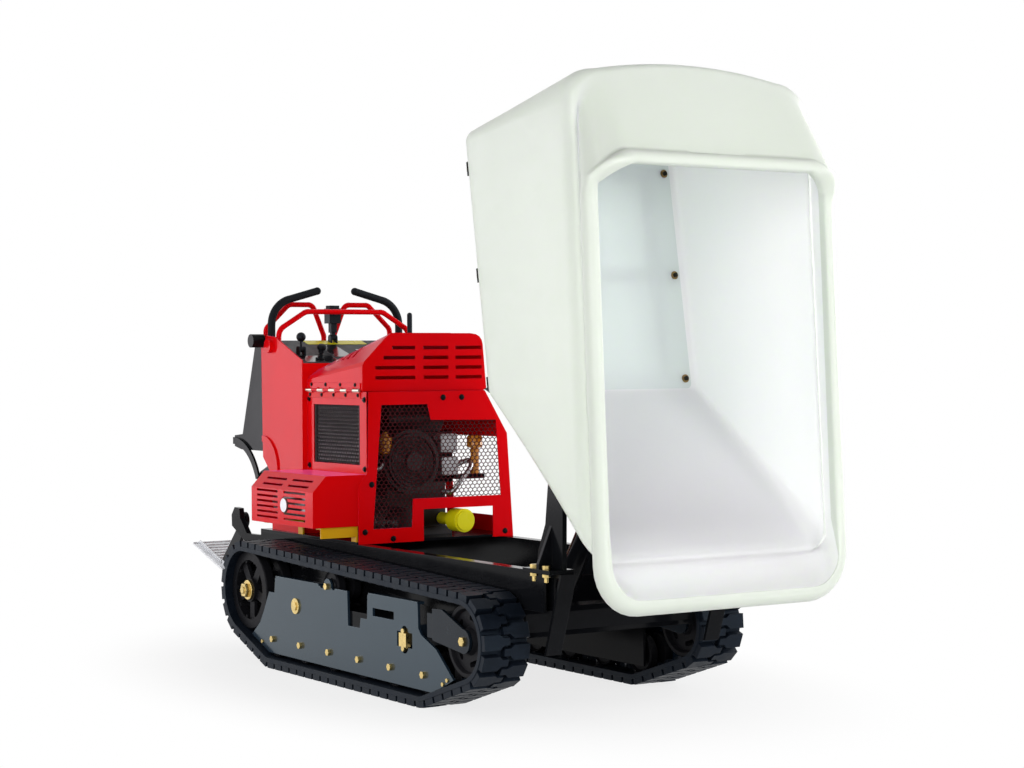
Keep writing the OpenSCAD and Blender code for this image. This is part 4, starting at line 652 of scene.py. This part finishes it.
def make_tub():
    bm = bmesh.new()
    outer, inner = outer_rings(), inner_rings()
    rings = [[bm.verts.new(tub_point(p)) for p in ring] for ring in outer + inner]
    skin(bm, rings)
    obj = piece("tub_shell", bm, "tub", poly_white, sharp=TUB_SHARP)
    obj.data.materials.append(poly_inner_painted_light)
    obj.data.materials.append(poly_floor_painted_shade)
    n = len(rings[0])
    underside = n * (len(rings) - 1)
    # The cavity's walls take the paler copy of the poly, as painted light
    for p in obj.data.polygons:
        if n * (len(outer) - 1) <= p.index < underside:
            p.material_index = 1
    # The cavity's floor cap takes the darker copy of the poly, as painted shade
    obj.data.polygons[underside + 1].material_index = 2
    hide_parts("tub")


make_tub()

# The tub's bolts: dark heads on bronze washers, parted by a plane along the floor
TUB_UP = Vector((math.sin(TIP), 0, math.cos(TIP)))
WASHER_PROUD = 0.0032
BOLT_SPLIT = tub_point((0, 0, WALL + WASHER_PROUD)).dot(TUB_UP)
BOLT_WASHER_FINISH = ((0.30, 0.20, 0.08), 0.35, 0.8)
BOLT_HEAD_FINISH = ((0.02, 0.02, 0.018), 0.4, 0.3)
bolt_finish = two_tone("tub_bolt_finish", TUB_UP, BOLT_SPLIT, BOLT_WASHER_FINISH, BOLT_HEAD_FINISH)
dress(nodes["tub_bolts"], bolt_finish)

# Thigh pad: a crowned cushion with piping round its seam

PAD_HALF = 0.222
PAD_TOP = Vector((-0.918, 0, 1.036))
PAD_LOW = Vector((-1.000, 0, 0.704))
# The cushion ends short of its plate, its sides pull in and its ends bow out
PAD_TRIM, PAD_SPAN, PAD_PULL, PAD_BOW = 0.03, 0.94, 0.03, 0.004
PAD_CELLS, PAD_SQUARE, PAD_CROWN, PAD_FILL, PAD_SHARP = 36, 7, 0.28, 0.8, 60
PAD_T, PAD_LOFT, PAD_SEAM, PAD_BACK = 0.040, 0.8, 0.010, 0.001
PIPING_R, PIPING_DEPTH, PIPING_SIDES = 0.0032, 0.011, 8


def hump(t):
    """Nought at both ends, one in the middle."""
    return 1 - (2 * t - 1) ** 2


def plateau(t):
    """Nought at both ends, and close to one between them."""
    return max(0.0, 1 - abs(2 * t - 1) ** PAD_SQUARE) ** 0.5


def pad_point(v, t, depth):
    back = PAD_TOP.lerp(PAD_LOW, PAD_TRIM + PAD_SPAN * v)
    half = PAD_HALF * (1 - PAD_PULL * hump(v))
    bow = PAD_BOW * hump(t) * (1 if v < 0.5 else -1)
    return at(back.x - depth, half * (2 * t - 1), back.z + bow)


def pad_depth(v, t):
    crown = 1 + PAD_CROWN * hump(t) * hump(v)
    return PAD_SEAM + PAD_T * PAD_LOFT * crown * (plateau(t) * plateau(v))


def make_pad():
    bm = bmesh.new()
    n = PAD_CELLS
    steps = [i / n for i in range(n + 1)]
    front = [[bm.verts.new(pad_point(v, t, pad_depth(v, t))) for t in steps] for v in steps]
    rear = [[bm.verts.new(pad_point(v, t, PAD_BACK)) for t in steps] for v in steps]
    for i in range(n):
        for j in range(n):
            bm.faces.new((front[i][j], front[i + 1][j], front[i + 1][j + 1], front[i][j + 1]))
            bm.faces.new((rear[i][j], rear[i][j + 1], rear[i + 1][j + 1], rear[i + 1][j]))
    loop = [(0, j) for j in range(n)] + [(i, n) for i in range(n)]
    loop += [(n - i, n - j) for i, j in loop]
    for (i, j), (k, m) in zip(loop, loop[1:] + loop[:1]):
        bm.faces.new((front[i][j], front[k][m], rear[k][m], rear[i][j]))
    pad = piece("thigh_cushion", bm, "chassis", vinyl, sharp=PAD_SHARP)
    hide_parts("thigh_pad")
    seam = bmesh.new()
    pts = [pad_point(i / n, j / n, PIPING_DEPTH) for i, j in loop]
    tube(seam, pts + pts[:2], PIPING_R, PIPING_SIDES)
    piece("pad_piping", seam, "chassis", vinyl, sharp=PAD_SHARP)


make_pad()

# Screws of the red panels and of the hood's hinge

PANEL_X = -0.163
BAY_RIGHT = 0.252
TO_FRONT, TO_RIGHT, UP = (1, 0, 0), (0, -1, 0), (0, 0, 1)
FRONT_SCREWS = ((0.028, 0.872), (0.098, 0.872), (-0.237, 0.60), (-0.262, 0.45), (0.262, 0.43),
                (-0.16, 0.425))
COOLER_SCREWS = ((-0.556, 0.868), (-0.18, 0.868), (-0.556, 0.648), (-0.18, 0.648))
# Rows on the hinge's leaves: the first screw's X, the pitch, the height and the count
LOWER_ROW = (-0.545, 0.082, 0.882, 5)
UPPER_ROW = (-0.535, 0.1, 0.915, 4)
LEAF_T, LEAF_SCREW_R, LEAF_SCREW_H, SCREW_SHARP = 0.003, 0.0045, 0.003, 30


def hinge_row(bm, row):
    x, pitch, z, count = row
    for i in range(count):
        spot = at(x + i * pitch, -BAY_RIGHT - LEAF_T, z)
        screw(bm, spot, TO_RIGHT, LEAF_SCREW_R, LEAF_SCREW_H)


def make_screws():
    bm = bmesh.new()
    for y, z in FRONT_SCREWS:
        screw(bm, at(PANEL_X, y, z), TO_FRONT)
    for x, z in COOLER_SCREWS:
        screw(bm, at(x, -BAY_RIGHT, z), TO_RIGHT)
    hinge_row(bm, LOWER_ROW)
    piece("panel_screws", bm, "chassis", black_steel, sharp=SCREW_SHARP)
    bm = bmesh.new()
    hinge_row(bm, UPPER_ROW)
    piece("hood_screws", bm, "hood", black_steel, sharp=SCREW_SHARP)


make_screws()

# Plated idler bolts and hub nuts, black sheets in the tracks as painted shade, and the hood's inner lip
# behind its seam

IDLER_X, IDLER_Z, IDLER_R, IDLER_H = 0.707, 0.212, 0.0146, 0.008
IDLER_BOLT = ((IDLER_R, 0), (IDLER_R, IDLER_H - 0.001), (IDLER_R * 0.86, IDLER_H + 0.0008))
DRIVE_X, DRIVE_Z, HUB_Y, HUB_SHARP = -0.668, 0.235, 0.423, 30
HUB_WASHER = ((0.0330, 0), (0.0330, 0.0072), (0.0315, 0.0086))
HUB_NUT = ((0.0256, 0.008), (0.0256, 0.0205), (0.0225, 0.0226))
HUB_STUD = ((0.0126, 0.022), (0.0126, 0.0260), (0.0110, 0.0274))
# Black sheets inside the track loops, 12 mm under the belts' upper runs, as painted shade
SHADE_SHEET_Y = (0.3155, 0.3195)
SHADE_SHEET_OUTLINE = ((-0.76, 0.268), (-0.76, 0.310), (-0.72, 0.338), (-0.668, 0.352), (0.50, 0.312),
                 (0.50, 0.240), (-0.56, 0.240), (-0.58, 0.268))
HOOD_X, SEAM_Z = PANEL_X - 0.030, 0.893
LIP_BACK, LIP_T, LIP_LOW, LIP_HIGH, LIP_EDGE = 0.004, 0.002, 0.012, 0.010, 0.0005
LIP_Y0, LIP_Y1 = -0.215, 0.204


def make_small_fittings():
    bm = bmesh.new()
    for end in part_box("tension_arms"):
        out = math.copysign(1, end.y)
        lathe(bm, at(IDLER_X, end.y - out * IDLER_H, IDLER_Z), (0, out, 0), IDLER_BOLT, steps=HEX)
    piece("idler_bolt_heads", bm, "chassis", zinc)
    for side, out in (("right", -1), ("left", 1)):
        bm = bmesh.new()
        hub = at(DRIVE_X, out * HUB_Y, DRIVE_Z)
        for profile, steps in ((HUB_WASHER, 32), (HUB_NUT, HEX), (HUB_STUD, 24)):
            lathe(bm, hub, (0, out, 0), profile, steps)
        piece("hub_nut_" + side, bm, "drive_wheel_" + side, zinc, sharp=HUB_SHARP)
        bm = bmesh.new()
        # A black sheet inside the loop, as painted shade
        skin(bm, [[bm.verts.new(at(x, out * y, z)) for x, z in SHADE_SHEET_OUTLINE] for y in SHADE_SHEET_Y])
        piece("track_shade_sheet_" + side, bm, "chassis", black_steel)
    bm = bmesh.new()
    lip_x = HOOD_X - LIP_BACK
    box(bm, at(lip_x - LIP_T, LIP_Y0, SEAM_Z - LIP_LOW), at(lip_x, LIP_Y1, SEAM_Z + LIP_HIGH), LIP_EDGE)
    piece("hood_lip", bm, "hood", red_paint)


make_small_fittings()

# Fins of the oil cooler, and the fine pressed screens of the front panel and the cooler window

FIN_FIRST, FIN_LAST, FIN_PITCH, FIN_T = -0.511, -0.228, 0.0065, 0.0012
FIN_Y, FIN_Z = (-0.243, -0.216), (0.662, 0.848)
SCREEN_PITCH, SCREEN_ROW = 0.017, 0.0115
SCREEN_WAVE, SCREEN_STRAND, SCREEN_DEPTH = 0.0026, 0.0024, 0.0016
SCREEN_X, COOLER_SCREEN_Y = PANEL_X - 0.0049, -BAY_RIGHT + 0.0034
SCREEN_OUTLINE = ((-0.209, 0.860), (-0.024, 0.860), (-0.011, 0.809), (0.237, 0.805), (0.257, 0.540),
                  (-0.078, 0.540), (-0.081, 0.449), (-0.242, 0.449))
COOLER_OUTLINE = ((-0.513, 0.654), (-0.225, 0.654), (-0.225, 0.856), (-0.513, 0.856))


def make_fins():
    bm = bmesh.new()
    x = FIN_FIRST
    while x < FIN_LAST:
        box(bm, at(x, FIN_Y[0], FIN_Z[0]), at(x + FIN_T, FIN_Y[1], FIN_Z[1]))
        x += FIN_PITCH
    piece("cooler_fins", bm, "chassis", fin_metal)


def inside(p, outline):
    """Whether a point lies in a closed outline."""
    hit = False
    for (a0, b0), (a1, b1) in zip(outline, outline[1:] + outline[:1]):
        if (b0 > p[1]) != (b1 > p[1]) and p[0] < (a1 - a0) * (p[1] - b0) / (b1 - b0) + a0:
            hit = not hit
    return hit


def strand(bm, p, q, place):
    """One flat bar of a screen between two points of its plane."""
    d = (Vector(q) - Vector(p)).normalized()
    n = Vector((-d.y, d.x)) * SCREEN_STRAND / 2
    ring = [Vector(p) + n, Vector(q) + n, Vector(q) - n, Vector(p) - n]
    skin(bm, [[bm.verts.new(place(c.x, c.y, depth)) for c in ring] for depth in (0, SCREEN_DEPTH)])


def pressed_screen(bm, outline, place):
    """Rows of six-sided holes: wavy bars joined by short links, cut off at the outline."""
    a0, a1 = min(p[0] for p in outline), max(p[0] for p in outline)
    b0, b1 = min(p[1] for p in outline), max(p[1] for p in outline)
    step = SCREEN_PITCH / 2
    for r in range(int((b1 - b0) / SCREEN_ROW) + 1):
        for i in range(int((a1 - a0) / step) + 1):
            up = 1 if (i + r) % 2 else -1
            p = (a0 + i * step, b0 + r * SCREEN_ROW + up * SCREEN_WAVE)
            q = (p[0] + step, b0 + r * SCREEN_ROW - up * SCREEN_WAVE)
            if inside(p, outline) and inside(q, outline):
                strand(bm, p, q, place)
            top = (p[0], p[1] + SCREEN_ROW - 2 * SCREEN_WAVE)
            if up > 0 and inside(p, outline) and inside(top, outline):
                strand(bm, p, top, place)


def make_screens():
    bm = bmesh.new()
    pressed_screen(bm, SCREEN_OUTLINE, lambda a, b, d: at(SCREEN_X + d, a, b))
    screen = piece("engine_screen", bm, "chassis", screen_paint)
    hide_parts("front_screen")
    bm = bmesh.new()
    pressed_screen(bm, COOLER_OUTLINE, lambda a, b, d: at(a, COOLER_SCREEN_Y + d, b))
    piece("cooler_screen", bm, "chassis", black_steel)


make_fins()
make_screens()

# Dash: bare yellow strip, dark plates, gauge and key switch on the sloped panel

DASH_X, DASH_Z, DASH_FALL = -0.850, 1.063, 0.3
DASH_TURN = Matrix.Rotation(math.atan(DASH_FALL), 4, "Y")
# Plates lie between two X and two Y, a little sunk, with edges softened by a share of their thickness
STRIP_PLACE = (-0.848, -0.803, -0.128, 0.104)
PLATE_PLACES = ((-0.795, -0.655, -0.100, -0.030), (-0.745, -0.640, 0.020, 0.130),
                (-0.672, -0.600, -0.236, -0.110))
STRIP_T, PLATE_T, PLATE_SINK, PLATE_EDGE = 0.0010, 0.0012, 0.0002, 0.3
# Gauge and key switch: X, Y, radius and height; their section is in shares of these
GAUGES = ((-0.712, 0.075, 0.026, 0.009), (-0.700, 0.165, 0.019, 0.008))
GAUGE_FOOT = 0.001
GAUGE_SECTION = ((1, 0.5), (0.95, 1), (0.82, 1), (0.8, 0.6))
DASH_SCREWS = ((-0.640, -0.180), (-0.640, -0.060), (-0.640, 0.120), (-0.800, 0.180))
DASH_SCREW_R, DASH_SCREW_H, GAUGE_SHARP = 0.004, 0.003, 35


def on_dash(x, y):
    """The matrix of a spot on the dash, with Z along its normal."""
    return Matrix.Translation(at(x, y, DASH_Z - (x - DASH_X) * DASH_FALL)) @ DASH_TURN


def dash_plate(bm, place, t):
    x0, x1, y0, y1 = place
    mid = on_dash((x0 + x1) / 2, (y0 + y1) / 2) @ Matrix.Translation((0, 0, t / 2 - PLATE_SINK))
    soft_cube(bm, mid @ Matrix.Diagonal((abs(x1 - x0), abs(y1 - y0), t, 1)), t * PLATE_EDGE)


def make_dash():
    normal = DASH_TURN.to_3x3() @ Vector(UP)
    bm = bmesh.new()
    dash_plate(bm, STRIP_PLACE, STRIP_T)
    piece("dash_strip", bm, "chassis", yellow_paint)
    bm = bmesh.new()
    for place in PLATE_PLACES:
        dash_plate(bm, place, PLATE_T)
    piece("dash_plates", bm, "chassis", gloss_plate)
    bm = bmesh.new()
    for x, y, r, h in GAUGES:
        section = [(r, -GAUGE_FOOT)] + [(r * k, h * z) for k, z in GAUGE_SECTION]
        lathe(bm, on_dash(x, y).translation, normal, section, steps=36)
    for x, y in DASH_SCREWS:
        screw(bm, on_dash(x, y).translation, normal, DASH_SCREW_R, DASH_SCREW_H)
    piece("dash_gauges", bm, "chassis", black_plastic, sharp=GAUGE_SHARP)


make_dash()

# Engine: fan grille, covers, fuel filter, cap and pipes seen through the screen

FAN_X, FAN_Y, FAN_Z = -0.236, -0.040, 0.664
FAN_RINGS, FAN_RING_R, FAN_RING_OUT = (0.026, 0.040, 0.054, 0.068, 0.082), 0.0022, 0.003
FAN_SPOKES, FAN_SPOKE_R, FAN_SPOKE_OUT, SPOKE_REACH = 12, 0.002, 0.001, (0.02, 0.05, 0.084)
RING_STEPS, WIRE_SIDES = 48, 8
# Opposite corners of boxes
COVERS = (((-0.292, 0.060, 0.690), (-0.232, 0.124, 0.752)),
          ((-0.292, 0.066, 0.614), (-0.236, 0.130, 0.676)))
BRACKETS = (((-0.300, 0.040, 0.590), (-0.290, 0.140, 0.760)),
            ((-0.296, 0.128, 0.600), (-0.250, 0.240, 0.616)))
COVER_EDGE, BRACKET_EDGE = 0.007, 0.003
FILTER_AT, CAP_AT = (-0.262, -0.132, 0.690), (-0.272, 0.214, 0.614)
FILTER = ((0.010, -0.02), (0.012, 0), (0.022, 0.004), (0.022, 0.052), (0.012, 0.058), (0.008, 0.072))
CAP = ((0.014, 0), (0.014, 0.085), (0.026, 0.090), (0.026, 0.122), (0.021, 0.128))
FUEL_PIPE = ((-0.262, -0.132, 0.672), (-0.258, -0.150, 0.648), (-0.270, -0.176, 0.628),
             (-0.300, -0.180, 0.560), (-0.300, -0.150, 0.470), (-0.300, -0.108, 0.440))
COVER_PIPE = ((-0.290, 0.100, 0.560), (-0.262, 0.120, 0.560), (-0.250, 0.150, 0.600),
              (-0.260, 0.190, 0.640), (-0.285, 0.196, 0.660), (-0.300, 0.150, 0.640))
FUEL_PIPE_R, COVER_PIPE_R = 0.0065, 0.008
TRIM_SHARP, WIRE_SHARP = 40, 60


def fan_point(out, r, a):
    return at(FAN_X + out, FAN_Y + r * math.cos(a), FAN_Z + r * math.sin(a))


def boxes(name, corners, edge, mat):
    bm = bmesh.new()
    for lo, hi in corners:
        box(bm, at(*lo), at(*hi), edge)
    piece(name, bm, "chassis", mat, sharp=TRIM_SHARP)


def make_engine_trim():
    bm = bmesh.new()
    # Each ring runs past its start, so that its ends overlap
    turns = [2 * math.pi * i / RING_STEPS for i in range(RING_STEPS + 2)]
    for r in FAN_RINGS:
        tube(bm, [fan_point(FAN_RING_OUT, r, a) for a in turns], FAN_RING_R, WIRE_SIDES)
    for i in range(FAN_SPOKES):
        a = 2 * math.pi / FAN_SPOKES * i
        tube(bm, [fan_point(FAN_SPOKE_OUT, r, a) for r in SPOKE_REACH], FAN_SPOKE_R, WIRE_SIDES)
    piece("fan_grille", bm, "chassis", engine_paint, sharp=WIRE_SHARP)
    boxes("engine_covers", COVERS, COVER_EDGE, alloy)
    boxes("engine_bracket", BRACKETS, BRACKET_EDGE, black_steel)
    bm = bmesh.new()
    for place, profile in ((FILTER_AT, FILTER), (CAP_AT, CAP)):
        lathe(bm, at(*place), UP, profile, steps=28)
    piece("fuel_filter_and_cap", bm, "chassis", amber, sharp=TRIM_SHARP)
    bm = bmesh.new()
    for route, r in ((FUEL_PIPE, FUEL_PIPE_R), (COVER_PIPE, COVER_PIPE_R)):
        tube(bm, curve_points([at(*p) for p in route]), r)
    piece("engine_pipes", bm, "chassis", bare_steel, sharp=WIRE_SHARP)


make_engine_trim()

# Floor, world and lamps

WORLD_SIDE, WORLD_TOP = 0.62, 0.12
# The floor keeps a light shadow near the machine and turns plain white away from it
FLOOR_NEAR, FLOOR_FAR, FLOOR_GLOW = 0.55, 1.12, 0.78
FLOOR_STRETCH = (0.62, 1.0, 1.0)
FLOOR_HALF_SIZE, FLOOR_COLOR, FLOOR_ROUGH = 40.0, (0.92, 0.92, 0.92, 1), 0.9
# Lamps: place, target, size, watts and colour
WHITE, COOL = (1, 1, 1), (0.96, 0.94, 1.0)
LAMPS = {
    "key": ((4.2, -5.6, 2.2), (0.2, 0, 0.8), (3.5, 2.5), 165, WHITE),
    "front": ((6.5, 1.0, 1.2), (0.2, 0, 0.7), (3.0, 2.0), 140, WHITE),
    "fill": ((1.2, 5.2, 2.2), (0.4, 0, 0.9), (3.0, 2.5), 165, WHITE),
    "side_panel": ((-4.6, -4.2, 1.6), (-0.2, -0.3, 0.6), (4.5, 3.0), 95, COOL),
}


def seen_rays(nt):
    """One for rays from the camera, off gloss or through glass, otherwise zero."""
    path = nt.nodes.new("ShaderNodeLightPath").outputs
    first = math_node(nt, "MAXIMUM", path["Is Camera Ray"], path["Is Transmission Ray"])
    return math_node(nt, "MAXIMUM", first, path["Is Glossy Ray"])


def floor_material():
    m, nt, b = new_material("floor_white")
    b.inputs["Base Color"].default_value = FLOOR_COLOR
    b.inputs["Roughness"].default_value = FLOOR_ROUGH
    b.inputs["Specular IOR Level"].default_value = 0.0
    glow = node(nt, "ShaderNodeEmission", Strength=1.0)
    squeeze = nt.nodes.new("ShaderNodeVectorMath")
    squeeze.operation = "MULTIPLY"
    squeeze.inputs[1].default_value = FLOOR_STRETCH
    nt.links.new(object_coords(nt), squeeze.inputs[0])
    away = nt.nodes.new("ShaderNodeVectorMath")
    away.operation = "LENGTH"
    nt.links.new(squeeze.outputs["Vector"], away.inputs[0])
    white = map_range(nt, away.outputs["Value"], FLOOR_GLOW, 1.0, FLOOR_NEAR, FLOOR_FAR)
    white.interpolation_type = "SMOOTHSTEP"
    mixer = nt.nodes.new("ShaderNodeMixShader")
    share = math_node(nt, "MULTIPLY", seen_rays(nt), white.outputs["Result"])
    nt.links.new(share, mixer.inputs["Fac"])
    nt.links.new(b.outputs[0], mixer.inputs[1])
    nt.links.new(glow.outputs[0], mixer.inputs[2])
    nt.links.new(mixer.outputs[0], nt.nodes["Material Output"].inputs["Surface"])
    return m


def make_stage():
    bm = bmesh.new()
    bmesh.ops.create_grid(bm, x_segments=1, y_segments=1, size=FLOOR_HALF_SIZE)
    me = bpy.data.meshes.new("floor")
    bm.to_mesh(me)
    bm.free()
    floor = bpy.data.objects.new("floor", me)
    bpy.context.scene.collection.objects.link(floor)
    me.materials.append(floor_material())


def make_world():
    w = bpy.data.worlds.new("world")
    bpy.context.scene.world = w
    w.use_nodes = True
    nt = w.node_tree
    back = nt.nodes["Background"]
    apart = nt.nodes.new("ShaderNodeSeparateXYZ")
    nt.links.new(nt.nodes.new("ShaderNodeTexCoord").outputs["Generated"], apart.inputs[0])
    sky = map_range(nt, apart.outputs["Z"], WORLD_SIDE, WORLD_TOP)
    level = map_range(nt, seen_rays(nt), 0.0, 1.0)
    nt.links.new(sky.outputs["Result"], level.inputs["To Min"])
    back.inputs["Color"].default_value = (1, 1, 1, 1)
    nt.links.new(level.outputs["Result"], back.inputs["Strength"])


def lamp(name, place, target, size, watts, color):
    data = bpy.data.lights.new(name, "AREA")
    data.shape = "RECTANGLE"
    data.size, data.size_y = size
    data.energy = watts
    data.color = color
    obj = bpy.data.objects.new(name, data)
    bpy.context.scene.collection.objects.link(obj)
    obj.location = at(*place)
    obj.rotation_euler = (at(*target) - at(*place)).to_track_quat("-Z", "Y").to_euler()


make_stage()
make_world()
for name, values in LAMPS.items():
    lamp(name, *values)
